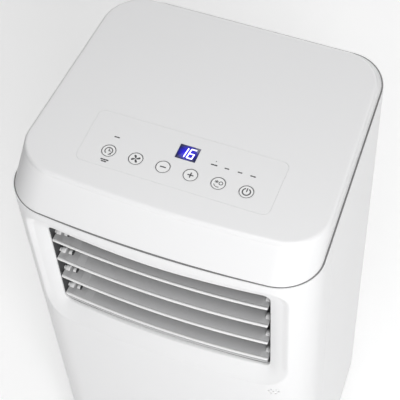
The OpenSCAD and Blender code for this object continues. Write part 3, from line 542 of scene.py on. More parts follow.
def block_border(left, right, low, high):
    """Grid places round a block, anticlockwise from its lower left corner."""
    cells = [(i, low) for i in range(left, right)]
    cells += [(right, j) for j in range(low, high)]
    cells += [(i, high) for i in range(right, left, -1)]
    return cells + [(left, j) for j in range(high, low, -1)]


def front_skin():
    """Outer face of the front shell: a grid with a block of rings that scoops into the outlet."""
    reach = BODY.distance_to_side(SPLIT_Y)
    side = steps_between(BLOCK_HALF_W, reach, 3)
    columns = np.concatenate([-side[::-1], steps_between(-BLOCK_HALF_W, BLOCK_HALF_W)[1:-1], side])
    rows = np.concatenate([steps_between(SHELL_Z0, BLOCK_LOW_Z, 20),
                           steps_between(BLOCK_LOW_Z, BLOCK_HIGH_Z)[1:], [SEAM_Z]])
    left = len(side) - 1
    right = len(columns) - len(side)
    low = int(np.argmin(np.abs(rows - BLOCK_LOW_Z)))
    high = int(np.argmin(np.abs(rows - BLOCK_HIGH_Z)))
    work = Builder()
    number = {}
    for j, z in enumerate(rows):
        crosses = low < j < high
        keep = [i for i in range(len(columns)) if not (crosses and left < i < right)]
        ring = np.column_stack([columns[keep], np.full(len(keep), z)])
        for i, n in zip(keep, work.add(wall_points(ring, 0))):
            number[i, j] = n
    for j in range(len(rows) - 1):
        for i in range(len(columns) - 1):
            if left <= i < right and low <= j < high:
                continue
            work.faces.append((number[i, j], number[i + 1, j], number[i + 1, j + 1], number[i, j + 1]))
    cells = block_border(left, right, low, high)
    border = np.array([(columns[i], rows[j]) for i, j in cells])
    rings = scoop_rings(right - left, high - low)
    previous = [number[cell] for cell in cells]
    for t in (0.35, 0.7, 0.9):
        row = work.add(wall_points(border + (rings[0][0] - border) * t, 0))
        work.strip(previous, row)
        previous = row
    for ring, depth in rings:
        row = work.add(wall_points(ring, depth))
        work.strip(previous, row)
        previous = row
    return work


def sound_hole_cutters():
    """Seven small drills: one in the middle of six."""
    middle_x, middle_z, pitch = 132, 442, 5.4
    drill = circle(1.15, 20)
    y0, y1 = -HALF_D - 5, -HALF_D + 40
    cutters = []
    for i in range(7):
        out = pitch if i else 0
        x = middle_x + out * math.cos(math.radians(60 * i))
        z = middle_z + out * math.sin(math.radians(60 * i))
        cutters.append(prism_y(f"drill_{i}", drill, x, z, y0, y1, DARK_PLASTIC))
    return cutters


def front_shell():
    """The front shell with its wall, rounded edges and sound holes."""
    obj = front_skin().finish("front_shell_moulding", SHELL_WHITE, 60)
    thicken(obj, WALL)
    round_edges(obj, EDGE_ROUND)
    cut(obj, sound_hole_cutters())
    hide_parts("front_shell")
    return obj


GRIP_HALF_W = 55
GRIP_HALF_H = 14
GRIP_Z = SEAM_Z - 34
GRIP_DEPTH = 24
GRIP_R = 8
REAR_OPENING_HALF_W = 125
REAR_OPENING_R = 6
REAR_CUT = (HALF_D - 12, HALF_D + 5)


def rear_cutters():
    """The hand grip's mouth and the two openings for the intakes."""
    grip = round_rect(GRIP_HALF_W - 1, GRIP_HALF_H - 1, GRIP_R)
    cutters = [prism_y("cut_grip", grip, 0, GRIP_Z, *REAR_CUT, SHELL_WHITE)]
    for node in ("filter_frame", "lower_grille"):
        middle, half = middle_and_half(node)
        outline = round_rect(REAR_OPENING_HALF_W, half[2] + 0.5, REAR_OPENING_R)
        cutters.append(prism_y("cut_" + node, outline, 0, middle[2], *REAR_CUT, SHELL_WHITE))
    return cutters


def round_cutters():
    """Round openings in the back for the exhaust collar, the cord gland and the drain plug."""
    cutters = []
    for node, margin in (("exhaust_collar", 0.4), ("cord_gland", 0.3), ("drain_plug", 2.0)):
        middle, half = middle_and_half(node)
        hole = circle(half[0] + margin, 64)
        cutters.append(prism_y("cut_" + node, hole, middle[0], middle[2], *REAR_CUT, SHELL_WHITE))
    return cutters


def rear_shell():
    """The shell round the sides and back, with its openings."""
    start = BODY.distance_to_side(SPLIT_Y + SPLIT_GAP)
    reach = BODY.length - start
    columns = steps_between(start, reach, 3)
    rows = np.array([SHELL_Z0, SHELL_Z0 + 3, SEAM_Z - 3, SEAM_Z])
    levels = [np.column_stack([columns, np.full(len(columns), z)]) for z in rows]
    work = Builder()
    work.skin([wall_points(level, 0) for level in levels], closed=False)
    obj = work.finish("rear_shell_moulding", SHELL_WHITE, 60)
    thicken(obj, WALL)
    cut(obj, rear_cutters() + round_cutters())
    round_edges(obj, EDGE_ROUND)
    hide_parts("rear_shell")
    return obj


def grip_pocket():
    """The closed pocket behind the opening of the hand grip."""
    wall = 2
    floor_round = 5
    back_y = HALF_D - GRIP_DEPTH
    mouth_y = HALF_D - WALL - 0.02
    half_w, half_h = GRIP_HALF_W - 1, GRIP_HALF_H - 1
    outer = round_rect(half_w + wall, half_h + wall, GRIP_R + wall)
    rings = [facing_y(outer, 0, GRIP_Z, back_y), facing_y(outer, 0, GRIP_Z, mouth_y),
             facing_y(round_rect(half_w, half_h, GRIP_R), 0, GRIP_Z, mouth_y)]
    for inset, depth in rounding(floor_round, 4):
        outline = round_rect(half_w - inset, half_h - inset, GRIP_R - inset)
        rings.append(facing_y(outline, 0, GRIP_Z, back_y + wall + depth))
    work = Builder()
    work.solid(rings)
    return work.finish("grip_pocket", SHELL_WHITE)


def seam_shade_strip():
    """Grey strip in the groove between the shells and the cover, a painted shade for the shadow in the seam
    gap, with a small bevel on its face.
    """
    face, back, bevel = 0.95, 4.4, 0.15
    low_z, high_z = SEAM_Z - 1.5, SEAM_Z + 0.2
    section = ((face, low_z), (face, SEAM_Z + 0.1), (face + bevel, high_z), (back, high_z), (back, low_z))
    rings = []
    for inset, z in section:
        points = plan(HALF_W - inset, HALF_D - inset, CORNER_R - inset, FRONT_BOW)
        rings.append(facing_z(points, 0, 0, z))
    work = Builder()
    work.band(rings)
    return work.finish("seam_shade_strip", SEAM_SHADE_GREY)


# ---- Top cover ----

COVER_INSET = 2.4
SEAM_GAP = 0.8
COVER_Z0 = SEAM_Z + SEAM_GAP
COVER_WALL = 3
SLOPE_FRONT = 31.5
SLOPE_BACK = 27.5
SLOPE_SHARE = 0.93
COVER_EDGE = 4
BUTTON_GAP = 0.4
BUTTON_R = 7.6
BUTTONS = ("timer", "fan", "minus", "plus", "mode", "power")


def cover_plan(front, side, back, radius):
    """The cover's outline, inset at its front, sides and back."""
    shift = (front - back) / 2
    points = plan(HALF_W - side, HALF_D - (front + back) / 2, radius, FRONT_BOW * 0.85)
    return points + np.array([0, shift])


def cover_ring(slope, inset, z):
    """One level of the cover: slope is the share of its lean, inset the share of the rounded edge."""
    f = COVER_INSET
    points = cover_plan(f + SLOPE_FRONT * SLOPE_SHARE * slope + inset, f + inset,
                        f + SLOPE_BACK * SLOPE_SHARE * slope + inset, CORNER_R - f - inset)
    return facing_z(points, 0, 0, z)


def top_cover():
    """The cover with its rounded edge, its panel seat and the holes in the seat."""
    straight_top = TOP_Z - COVER_EDGE
    rings = [cover_ring(0, 0, COVER_Z0)]
    for t in (0.04, 0.1, 0.25, 0.5, 0.75, 0.9, 0.97):
        rings.append(cover_ring(t, 0, COVER_Z0 + (straight_top - COVER_Z0) * t))
    rings += [cover_ring(1, inset, TOP_Z - drop) for inset, drop in rounding(COVER_EDGE, 8)]
    rings += [cover_ring(1, COVER_EDGE + extra, TOP_Z) for extra in (0.8, 4)]
    work = Builder()
    rows = work.skin(rings)
    work.faces.append(tuple(rows[-1]))
    obj = work.finish("top_cover_moulding", SHELL_WHITE, 60)
    thicken(obj, COVER_WALL)
    round_edges(obj, EDGE_ROUND)
    cut(obj, cover_cutters())
    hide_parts("top_cover")
    return obj


def button_spot(name):
    """Middle of a button, seen from above."""
    return middle_and_half("button_" + name)[0][:2]


def cover_cutters():
    """The panel's shallow seat, with the holes for the buttons and the display."""
    middle, half = middle_and_half("control_panel")
    seat = round_rect(half[0] + 0.15, half[1] + 0.15, 8)
    seat_z = (span("control_panel")[0][2] - 0.02, TOP_Z + 2)
    hole_z = (TOP_Z - 6, TOP_Z - 0.5)
    cutters = [prism_z("cut_seat", seat, middle[0], middle[1], *seat_z, SHELL_WHITE)]
    for name in BUTTONS:
        hole = circle(BUTTON_R + BUTTON_GAP)
        cutters.append(prism_z("cut_" + name, hole, *button_spot(name), *hole_z, SHELL_WHITE))
    middle, half = middle_and_half("display_window")
    window = round_rect(half[0] + 0.3, half[1] + 0.3, 0.5, 2)
    cutters.append(prism_z("cut_window", window, middle[0], middle[1], *hole_z, SHELL_WHITE))
    return cutters


# ---- Controls ----

PANEL_PRINT = (TOP_Z - 0.1, TOP_Z + 0.05)
ICON_PRINT = (TOP_Z - 0.32, TOP_Z - 0.23)
SIGN_HALF = 2.7
SIGN_LINE = 1.3
STEM_R = 2.2
FLANGE_T = 2
CAP_EDGE = 0.35
LABELS = ((32.8, 7), (46.6, 5), (60.7, 5), (74.6, 6))


def ring_print(work, inner, outer, x, y, levels, start=0, turn=360, steps=48):
    """Adds a printed ring or part of one, as a thin solid between two levels."""
    z0, z1 = levels
    count = max(2, round(steps * turn / 360))
    angles = np.radians(start + turn * np.arange(count + 1) / count)
    section = ((inner, z0), (outer, z0), (outer, z1), (inner, z1))
    rings = [[(x + r * math.cos(a), y + r * math.sin(a), z) for r, z in section] for a in angles]
    if turn == 360:
        work.band(rings[:-1])
    else:
        work.solid(rings)


def bar_print(work, x0, y0, x1, y1, width, levels):
    """Adds a printed straight line with round ends."""
    along = np.array([x1 - x0, y1 - y0])
    angle = math.degrees(math.atan2(along[1], along[0]))
    r = width / 2
    end = arc(x1, y1, r, angle - 90, 3)[:-1].tolist() + arc(x1, y1, r, angle, 3).tolist()
    end += arc(x0, y0, r, angle + 90, 3)[:-1].tolist() + arc(x0, y0, r, angle + 180, 3).tolist()
    work.solid([[(p[0], p[1], z) for p in end] for z in levels])


def blade_print(work, x, y, angle, levels):
    """Adds one swept fan blade."""
    turn = math.radians(angle)
    blade = [(0.4, 0.5), (0.9, -0.5), (2.4, -1.0), (4.3, -0.7), (5.0, 0.5), (4.5, 1.6), (3.6, 1.5),
             (2.0, 0.9)]
    points = [(x + u * math.cos(turn) - v * math.sin(turn), y + u * math.sin(turn) + v * math.cos(turn))
              for u, v in blade]
    work.solid([[(*p, z) for p in points] for z in levels])


def icon_timer(work, x, y):
    """A clock: an open ring, two hands and a short stroke below."""
    ring_print(work, 3.5, 4.5, x, y, ICON_PRINT, -60, 300)
    bar_print(work, x, y, x, y + 2.5, 0.9, ICON_PRINT)
    bar_print(work, x, y, x + 1.9, y, 0.9, ICON_PRINT)
    bar_print(work, x + 1.2, y - 4.6, x + 3.4, y - 3.4, 0.9, ICON_PRINT)


def icon_fan(work, x, y):
    """Four blades."""
    for k in range(4):
        blade_print(work, x, y, 20 + 90 * k, ICON_PRINT)


def icon_minus(work, x, y):
    """One level bar."""
    bar_print(work, x - SIGN_HALF, y, x + SIGN_HALF, y, SIGN_LINE, ICON_PRINT)


def icon_plus(work, x, y):
    """A level and an upright bar."""
    icon_minus(work, x, y)
    bar_print(work, x, y - SIGN_HALF, x, y + SIGN_HALF, SIGN_LINE, ICON_PRINT)


def icon_mode(work, x, y):
    """A flake, a small ring and a curved line below them."""
    flake_x, flake_y, flake_r = x - 2.3, y + 1.7, 1.9
    for k in range(3):
        turn = math.radians(60 * k + 90)
        u, v = flake_r * math.cos(turn), flake_r * math.sin(turn)
        bar_print(work, flake_x - u, flake_y - v, flake_x + u, flake_y + v, 0.6, ICON_PRINT)
    ring_print(work, 1.5, 2.3, x + 2.5, y + 0.9, ICON_PRINT)
    ring_print(work, 4.1, 4.8, x, y, ICON_PRINT, 200, 95)


def icon_power(work, x, y):
    """A ring open at its top, with an upright bar."""
    ring_print(work, 3.4, 4.7, x, y, ICON_PRINT, 115, 310)
    bar_print(work, x, y + 0.3, x, y + 4.2, 1.1, ICON_PRINT)


ICONS = {"timer": icon_timer, "fan": icon_fan, "minus": icon_minus, "plus": icon_plus, "mode": icon_mode,
         "power": icon_power}


def button(name):
    """A cap with a rounded edge and a shallow dish, its flange and stem, and the printed ring and icon."""
    middle, half = middle_and_half("button_" + name)
    x, y = button_spot(name)
    flange_z = TOP_Z - 5.2
    cap_z = TOP_Z - 0.3
    profile = [(STEM_R, middle[2] - half[2]), (STEM_R, flange_z), (half[0], flange_z),
               (half[0], flange_z + FLANGE_T), (BUTTON_R, flange_z + FLANGE_T)]
    profile += [(BUTTON_R - inset, cap_z - drop) for inset, drop in rounding(CAP_EDGE, 4)]
    profile += [(BUTTON_R - 1.2, cap_z - 0.01), (3, cap_z - 0.04)]
    work = Builder()
    lathe(work, profile, lambda u, v, h: (x + u, y + v, h))
    cap = work.finish("button_cap_" + name, BUTTON_WHITE, 30)
    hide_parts("button_" + name)
    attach(cap, "button_" + name)
    icon = Builder()
    ring_print(icon, 6.9, 7.45, x, y, ICON_PRINT)
    ICONS[name](icon, x, y)
    mark = icon.finish("button_icon_" + name, INK)
    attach(mark, "button_" + name)


def panel_print():
    """Plain marks in place of words, printed on the panel."""
    work = Builder()
    x, y = button_spot("timer")
    dashes(work, x + 1, y + 18.6, 6, 2)
    dashes(work, x + 0.4, y - 12.0, 9, 3)
    dashes(work, x + 0.4, y - 14.2, 6, 2)
    label_y = y + 19.7
    for label_x, width in LABELS:
        dashes(work, label_x, label_y, width, 2)
    ring_print(work, 0.1, 0.6, 33.5, label_y + 4.7, PANEL_PRINT)
    return work.finish("panel_print", INK)


def dashes(work, x, y, width, count):
    """A short row of dashes on the panel, in place of a word."""
    each = width / count
    for k in range(count):
        start = x - width / 2 + k * each
        bar_print(work, start + 0.8, y, start + each - 0.6, y, 1.5, PANEL_PRINT)


# ---- Display ----

def display_glass():
    """Dark glass with a soft blue glow round the figures."""
    middle = middle_and_half("display_window")[0]
    material, tree, shader = new_material("display_glass")
    place = tree.nodes.new("ShaderNodeTexCoord")
    shape = tree.nodes.new("ShaderNodeMapping")
    reach = (11.5 * MM, 10 * MM, 1)
    shape.inputs["Scale"].default_value = [1 / r for r in reach]
    shape.inputs["Location"].default_value = [-m * MM / r for m, r in zip(middle, reach)]
    glow = tree.nodes.new("ShaderNodeTexGradient")
    glow.gradient_type = "SPHERICAL"
    ramp = tree.nodes.new("ShaderNodeValToRGB")
    ramp.color_ramp.elements[0].color = (0.012, 0.014, 0.06, 1)
    ramp.color_ramp.elements[1].color = (0.03, 0.02, 0.85, 1)
    ramp.color_ramp.elements[1].position = 0.7
    flat = tree.nodes.new("ShaderNodeMapping")
    flat.inputs["Scale"].default_value = (1, 1, 0)
    tree.links.new(place.outputs["Object"], shape.inputs["Vector"])
    tree.links.new(shape.outputs["Vector"], flat.inputs["Vector"])
    tree.links.new(flat.outputs["Vector"], glow.inputs["Vector"])
    tree.links.new(glow.outputs["Fac"], ramp.inputs["Fac"])
    tree.links.new(ramp.outputs["Color"], shader.inputs["Emission Color"])
    shader.inputs["Emission Strength"].default_value = 1.0
    tree.links.new(tint(tree, noise(tree, 200), (0.006, 0.006, 0.02), (0.01, 0.01, 0.03)),
                   shader.inputs["Base Color"])
    shader.inputs["Roughness"].default_value = 0.08
    return material


def display_light():
    """Lit figures, whitish violet."""
    material, tree, shader = new_material("display_led")
    colour = tint(tree, noise(tree, 300), (0.75, 0.75, 1.0), (0.9, 0.88, 1.0))
    tree.links.new(colour, shader.inputs["Emission Color"])
    tree.links.new(colour, shader.inputs["Base Color"])
    shader.inputs["Emission Strength"].default_value = 1.1
    return material


def display():
    """The window's glass, and two seven-bar figures."""
    glass = display_glass()
    low, high = span("display_window")
    middle, half = middle_and_half("display_window")
    outline = round_rect(half[0] - 0.05, half[1] - 0.05, 0.6, 3)
    inner = round_rect(half[0] - 0.3, half[1] - 0.3, 0.4, 3)
    rings = [facing_z(outline, middle[0], middle[1], z) for z in (low[2], high[2] - 0.2)]
    rings.append(facing_z(inner, middle[0], middle[1], high[2]))
    work = Builder()
    work.solid(rings)
    window = work.finish("display_window_glass", glass)
    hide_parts("display_window")
    figures = Builder()
    seven_bars(figures, middle[0] - 4.6, middle[1], "bc")
    seven_bars(figures, middle[0] + 4.2, middle[1], "acdefg")
    lit = figures.finish("display_figures", display_light())
    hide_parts("display_digits")
    return [window, lit]


def seven_bars(work, x, y, lit):
    """One figure of up to seven bars, leaning slightly to the right."""
    w, h, t, lean = 5.6, 11.5, 1.35, 0.12
    gap = 0.35
    spots = {"a": (0, h / 2, 0), "b": (w / 2, h / 4, 1), "c": (w / 2, -h / 4, 1), "d": (0, -h / 2, 0),
             "e": (-w / 2, -h / 4, 1), "f": (-w / 2, h / 4, 1), "g": (0, 0, 0)}
    for bar in lit:
        u, v, upright = spots[bar]
        reach = (h / 4 if upright else w / 2) - gap
        ends = [(u, v - reach), (u, v + reach)] if upright else [(u - reach, v), (u + reach, v)]
        (x0, y0), (x1, y1) = [(x + p + lean * q, y + q) for p, q in ends]
        bar_print(work, x0, y0, x1, y1, t, PANEL_PRINT)


# ---- Air outlet ----

PIVOT_Y = -132
FRAME_T = 2.2
NOSE_DEPTH = 9.7
NOSE_R = 1.7
VANE_COUNT = 4
VANE_BACK_Y = span("vane_1")[1][1]
VANE_HALF_W = span("vane_1")[1][0] - 3.4
BOSS_INSET = 7
INNER_BOSS_X = -110.5
LINK_X = -95
LINK_NOTCH = 8
FRAME_DEPTH = 12.8
CRANK = 12
PIN_Y = PIVOT_Y + CRANK


def vane_z(index):
    """Height of a vane's pivot, which is the middle of its end bosses."""
    return middle_and_half(f"vane_{index}")[0][2]


def crosswise(y, z):
    """Places turned parts on a line that runs from side to side."""
    return lambda u, v, along: (along, y + u, z + v)


def blade_section(nose_y, back_y, blade=1.1, tail=0.7):
    """Section of a blade as (y, z) pairs, thinner and rounded at the back."""
    end = [(back_y - tail + tail * math.cos(a), tail * math.sin(a)) for a in np.radians([75, 30, -30, -75])]
    return [(nose_y, -blade), (nose_y, blade), *end]


def vane_blade(index):
    """The thin blade, grey as a painted shade of the white vane plastic; behind the end bosses it is cut
    away, and it has a notch for the link.
    """
    z = vane_z(index)
    step = 0.2
    inner = VANE_HALF_W - BOSS_INSET
    stations = np.concatenate([[-VANE_HALF_W, -inner - step], steps_between(-inner, inner, 5),
                               [inner + step, VANE_HALF_W]])
    rings = []
    for x in stations:
        back = VANE_BACK_Y if abs(x) <= inner else PIVOT_Y + 3.5
        section = blade_section(front_y(x) + NOSE_DEPTH + NOSE_R, back)
        rings.append([(x, y, z + up) for y, up in section])
    work = Builder()
    work.solid(rings)
    blade = work.finish(f"vane_blade_{index}", VANE_SHADE_GREY, 35)
    left, right = LINK_X - LINK_NOTCH / 2, LINK_X + LINK_NOTCH / 2
    front, behind = PIN_Y - 6.5, PIN_Y + 20
    notch = [(left, front), (right, front), (right, behind), (left, behind)]
    return cut(blade, [prism_z("cut_notch", notch, 0, 0, z - 5, z + 5, VANE_SHADE_GREY)])


def vane_trim(index):
    """White bead along the front edge, end bosses with their pivot pins, inner boss and crank pin."""
    z = vane_z(index)
    end_x = span(f"vane_{index}")[1][0]
    work = Builder()
    ends = [(VANE_HALF_W, 0.35), (VANE_HALF_W - 0.3, 0.8), (VANE_HALF_W - 1.2, 1)]
    shares = [(-x, share) for x, share in ends]
    shares += [(x, 1) for x in steps_between(4 - VANE_HALF_W, VANE_HALF_W - 4, 5)]
    shares += [(x, share) for x, share in reversed(ends)]
    rings = []
    for x, share in shares:
        middle_y = front_y(x) + NOSE_DEPTH + NOSE_R
        rings.append([(x, middle_y + share * p[0], z + share * p[1]) for p in circle(NOSE_R, 16)])
    work.solid(rings)
    on_pivot = crosswise(PIVOT_Y, z)
    for side in (-1, 1):
        low, high = sorted((side * (end_x - 3.8), side * (end_x - 9)))
        lathe(work, rounded_profile(4, low, high, 0.9), on_pivot, 32)
        low, high = sorted((side * end_x, side * (end_x - 5)))
        lathe(work, rounded_profile(2.5, low, high, 0.4), on_pivot, 24)
    lathe(work, rounded_profile(3.2, INNER_BOSS_X - 2, INNER_BOSS_X + 1.9, 0.6), on_pivot, 24)
    lathe(work, rounded_profile(1.5, LINK_X - 5, LINK_X + 5, 0.3), crosswise(PIN_Y, z), 24)
    return work.finish(f"vane_trim_{index}", VANE_WHITE, 35)


def vane_shade_collar(index):
    """Dark collar on the pivot line, beside the inner boss: a painted shade for the dark gap beside the boss.
    """
    profile = rounded_profile(3.6, INNER_BOSS_X + 2, INNER_BOSS_X + 3.8, 0.4)
    work = Builder()
    lathe(work, profile, crosswise(PIVOT_Y, vane_z(index)), 24)
    return work.finish(f"vane_shade_collar_{index}", DARK_PLASTIC, 35)


def vane(index):
    """One vane: its blade, trim and dark collar of painted shade."""
    blade = vane_blade(index)
    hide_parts(f"vane_{index}")
    for piece in (blade, vane_trim(index), vane_shade_collar(index)):
        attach(piece, f"vane_{index}")


def vane_link():
    """The upright link with an eye round each crank pin."""
    low, high = span("vane_link")
    middle_x = (low[0] + high[0]) / 2
    hole_r, eye_r, edge = 1.65, 3.4, 0.4
    profile = [(hole_r, low[0]), (eye_r - edge, low[0]), (eye_r, low[0] + edge), (eye_r, high[0] - edge),
               (eye_r - edge, high[0]), (hole_r, high[0])]
    work = Builder()
    for index in range(1, VANE_COUNT + 1):
        z = vane_z(index)
        work.band([[(along, PIN_Y + p[0], z + p[1]) for p in circle(r, 32)] for r, along in profile])
    bar = round_rect((high[0] - low[0]) / 2, 2.6, 0.8, 3)
    for index in range(1, VANE_COUNT):
        ends = (vane_z(index + 1) + eye_r - 0.3, vane_z(index) - eye_r + 0.3)
        work.solid([facing_z(bar, middle_x, PIN_Y, z) for z in ends])
    obj = work.finish("vane_link_bar", VANE_WHITE, 35)
    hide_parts("vane_link")
    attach(obj, "vane_link")


def outlet_frame():
    """The frame that carries the vanes, near black as a painted shade for its shadowed walls; its front edge
    follows the bowed front, and its sill is painted the lighter vane grey where light reaches it.
    """
    low, high = span("outlet_frame")
    middle, half = middle_and_half("outlet_frame")
    narrowing = 1.8

    def outline(inset):
        points = round_rect(half[0] - inset, half[2] - inset, OPENING_R - narrowing * inset, 12)
        return resample(np.vstack([points, points[:1]]), 200)[:-1]

    def front(inset, back):
        return [(p[0], front_y(p[0]) + FRAME_DEPTH + back, middle[2] + p[1]) for p in outline(inset)]

    steps = rounding(0.8, 3)
    rings = [facing_y(outline(0), 0, middle[2], high[1])]
    rings += [front(inset, back) for inset, back in steps]
    rings += [front(FRAME_T - inset, back) for inset, back in reversed(steps)]
    rings.append(facing_y(outline(FRAME_T), 0, middle[2], high[1]))
    work = Builder()
    work.band(rings)
    obj = work.finish("outlet_frame_moulding", FRAME_PAINTED_SHADE, 35)
    # Faces low on the sill take the lighter grey: painted light on the sill, painted shade on the rest of the
    # frame.
    obj.data.materials.append(VANE_SHADE_GREY)
    lit_sill_z = (low[2] + FRAME_T + 1) * MM
    for face in obj.data.polygons:
        if face.center.z < lit_sill_z:
            face.material_index = 1
    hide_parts("outlet_frame")
    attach(obj, "cabinet")


# ---- Intakes and fittings at the back ----

def slatted_panel(node, slats, posts, body):
    """A frame with rounded slats across it and thin posts behind them."""
    low, high = span(node)
    middle, half = middle_and_half(node)
    half_w, half_h, middle_z = half[0], half[2], middle[2]
    rim, corner = 6, 5.6
    y0, y1 = low[1], high[1]
    work = Builder()
    outer = [(inset, y1 - back) for inset, back in rounding(0.8, 3)]
    inner = [(rim - inset, y) for inset, y in reversed(outer)]
    section = [(0, y0), *outer, *inner, (rim, y0)]
    rings = [facing_y(round_rect(half_w - inset, half_h - inset, max(corner - inset, 0.6)), 0, middle_z, y)
             for inset, y in section]
    work.band(rings)
    slat = rounded_slat(y0 + 0.4, y1 - 0.3, 1)
    inner_h = half_h - rim
    for i in range(1, slats + 1):
        z = middle_z - inner_h + 2 * inner_h * i / (slats + 1)
        work.solid([[(x, y, z + up) for y, up in slat] for x in (rim - half_w - 0.5, half_w - rim + 0.5)])
    post = rounded_slat(y0 + 0.6, y1 - 0.9, 1.2)
    for i in range(1, posts + 1):
        x = rim - half_w + 2 * (half_w - rim) * i / (posts + 1)
        ends = (middle_z - inner_h - 0.5, middle_z + inner_h + 0.5)
        work.solid([[(x + across, y, z) for y, across in post] for z in ends])
    obj = work.finish(node + "_moulding", SHELL_WHITE, 35)
    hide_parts(node)
    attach(obj, body)


def rounded_slat(y0, y1, half_t):
    """Section of a slat as (y, across) pairs, with a round front and back edge."""
    turn = np.radians(np.linspace(-90, 90, 7))
    back = [(y1 - half_t + half_t * math.cos(a), half_t * math.sin(a)) for a in turn]
    front = [(y0 + half_t - half_t * math.cos(a), -half_t * math.sin(a)) for a in turn]
    return back + front


def fittings():
    """Collar, gland, plug and screws at the back, and the base pan, with rounded edges."""
    softened("exhaust_collar", 0.6, SHELL_WHITE)
    softened("cord_gland", 0.5, DARK_PLASTIC)
    softened("drain_plug", 0.4, DARK_PLASTIC, "drain_plug")
    softened("shell_screws", 0.25, STEEL)
    softened("base_pan", 0.8, SHELL_WHITE)


# ---- Casters ----

def caster(corner):
    """The fork with rounded edges, and a wheel with a tyre, a sunken side and a hub."""
    softened("caster_fork_" + corner, 0.5, CASTER_GREY, "fork_" + corner)
    middle, half = middle_and_half("caster_wheel_" + corner)
    half_w, radius = half[0], half[2]
    bore, hub_r, dish_r, dish, edge = 3.06, 7, radius - 5.5, 2.2, 3
    side = [(bore, half_w), (hub_r - 0.6, half_w), (hub_r, half_w - 0.6), (hub_r + 0.6, half_w - dish),
            (dish_r - 0.6, half_w - dish), (dish_r, half_w - 0.8), (dish_r + 0.8, half_w)]
    side += [(radius - q, half_w - p) for p, q in rounding(edge, 6)]
    profile = side + [(r, -along) for r, along in reversed(side)]
    work = Builder()
    work.band([[(middle[0] + along, middle[1] + p[0], middle[2] + p[1]) for p in circle(r, 64)]
               for r, along in profile])
    wheel = work.finish("caster_tyre_" + corner, WHEEL_GREY, 35)
    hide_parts("caster_wheel_" + corner)
    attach(wheel, "wheel_" + corner)


# ---- Carried-over nodes ----

NODE_MATERIALS = {
    PANEL_WHITE: ("control_panel",),
    DARK_PLASTIC: ("key_switches", "filter_mesh", "splash_motor"),
    BOARD_GREEN: ("key_board", "main_board", "receiver_board"),
    FOAM: ("air_duct", "drip_tray", "partition"),
    FAN_GREY: ("evaporator_scroll", "evaporator_wheel", "condenser_scroll", "condenser_wheel",
               "exhaust_duct", "electrics_box", "splash_wheel"),
    STEEL: ("evaporator_motor", "condenser_motor"),
    FINS: ("evaporator_coil", "condenser_coil"),
    COPPER: ("evaporator_tubes", "condenser_tubes", "suction_pipe", "discharge_pipe", "capillary_tube"),
    PAINT_BLACK: ("compressor",),
    RUBBER: ("compressor_mounts",),
}


def paint_nodes():
    """Gives every CAD node that stays its material."""
    for material, names in NODE_MATERIALS.items():
        for name in names:
            data = NODES[name].data
            data.materials.clear()
            data.materials.append(material)


# ---- Stage, light and camera ----

def floor():
    """A plain pale floor that curves up far behind."""
    material, tree, shader = new_material("stage_floor")
    colour = tint(tree, noise(tree, 3), (0.90, 0.90, 0.90), (0.93, 0.93, 0.93))
    tree.links.new(colour, shader.inputs["Base Color"])
    tree.links.new(colour, shader.inputs["Emission Color"])
    shader.inputs["Emission Strength"].default_value = 0.28
    shader.inputs["Roughness"].default_value = 0.7
    start_y, bend_y, bend_r, top_z, half_w, drop = -4000, 2500, 900, 4000, 5000, 0.5
    bend = [(bend_y + bend_r * math.sin(a), bend_r - bend_r * math.cos(a)) for a in quarter(10)[1:]]
    section = [(start_y, 0), (bend_y, 0), *bend, (bend_y + bend_r, top_z)]
    work = Builder()
    work.skin([[(x, y, z - drop) for x in (-half_w, 0, half_w)] for y, z in section], closed=False)
    obj = work.finish("stage_floor", material, 80)


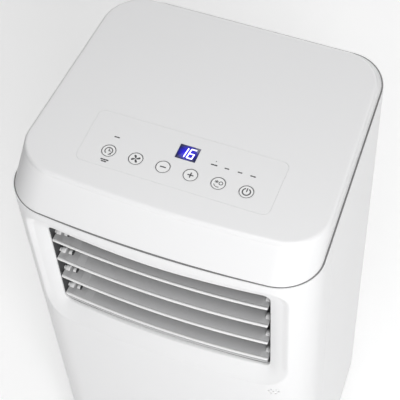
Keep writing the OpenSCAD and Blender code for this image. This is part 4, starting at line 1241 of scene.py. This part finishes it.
def area_light(name, place, aim, size, power):
    """A soft light at a place, aimed at a point, that no view shows; metres and watts."""
    data = bpy.data.lights.new(name, "AREA")
    data.shape = "RECTANGLE"
    data.size, data.size_y = size
    data.energy = power
    obj = bpy.data.objects.new(name, data)
    obj.visible_camera = False
    bpy.context.scene.collection.objects.link(obj)
    obj.location = place
    obj.rotation_euler = (Vector(aim) - Vector(place)).to_track_quat("-Z", "Y").to_euler()


def lights():
    """Soft studio light: a dim room, a key from the front right, fills, and lights over the top."""
    world = bpy.data.worlds.new("studio")
    bpy.context.scene.world = world
    world.use_nodes = True
    world.node_tree.nodes["Background"].inputs["Color"].default_value = (1, 1, 1, 1)
    world.node_tree.nodes["Background"].inputs["Strength"].default_value = 0.12
    middle, top = (0, 0, 0.5), (0, 0, 0.7)
    area_light("key_front_right", (1.5, -2.1, 1.5), middle, (1.2, 1.2), 42)
    area_light("fill_right", (2.4, 0.2, 1.0), middle, (1.2, 1.2), 0.2)
    area_light("fill_back", (0.0, 2.4, 1.6), middle, (1.6, 1.2), 14)
    area_light("top_wide", (0.0, 0.2, 2.8), middle, (1.8, 1.8), 11.6)
    area_light("top_near", (0.2, -0.55, 1.75), top, (0.7, 0.7), 4.8)
    area_light("front_near", (0.45, -0.9, 1.25), (0, -0.1, 0.7), (0.5, 0.3), 1.5)


def camera():
    """A long lens, high in front and to the right of the object."""
    data = bpy.data.cameras.new("camera")
    data.lens = 113.45
    data.sensor_width = 36
    obj = bpy.data.objects.new("camera", data)
    bpy.context.scene.collection.objects.link(obj)
    obj.location = (0.3420, -0.7454, 1.7231)
    obj.rotation_euler = (0.6067, 0.0442, 0.3814)
    bpy.context.scene.camera = obj


# ---- Assembly ----

for piece in (front_shell(), rear_shell(), grip_pocket(), top_cover()):
    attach(piece, "cabinet")
for piece in (seam_shade_strip(), panel_print()):
    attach(piece, "cabinet")
for piece in display():
    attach(piece, "cabinet")
for name in BUTTONS:
    button(name)
for index in range(1, VANE_COUNT + 1):
    vane(index)
vane_link()
outlet_frame()
slatted_panel("lower_grille", 19, 4, "cabinet")
slatted_panel("filter_frame", 15, 4, "filter")
fittings()
for corner in ("fl", "fr", "rl", "rr"):
    caster(corner)
paint_nodes()
floor()
lights()
camera()
bpy.context.scene.view_settings.view_transform = "Standard"
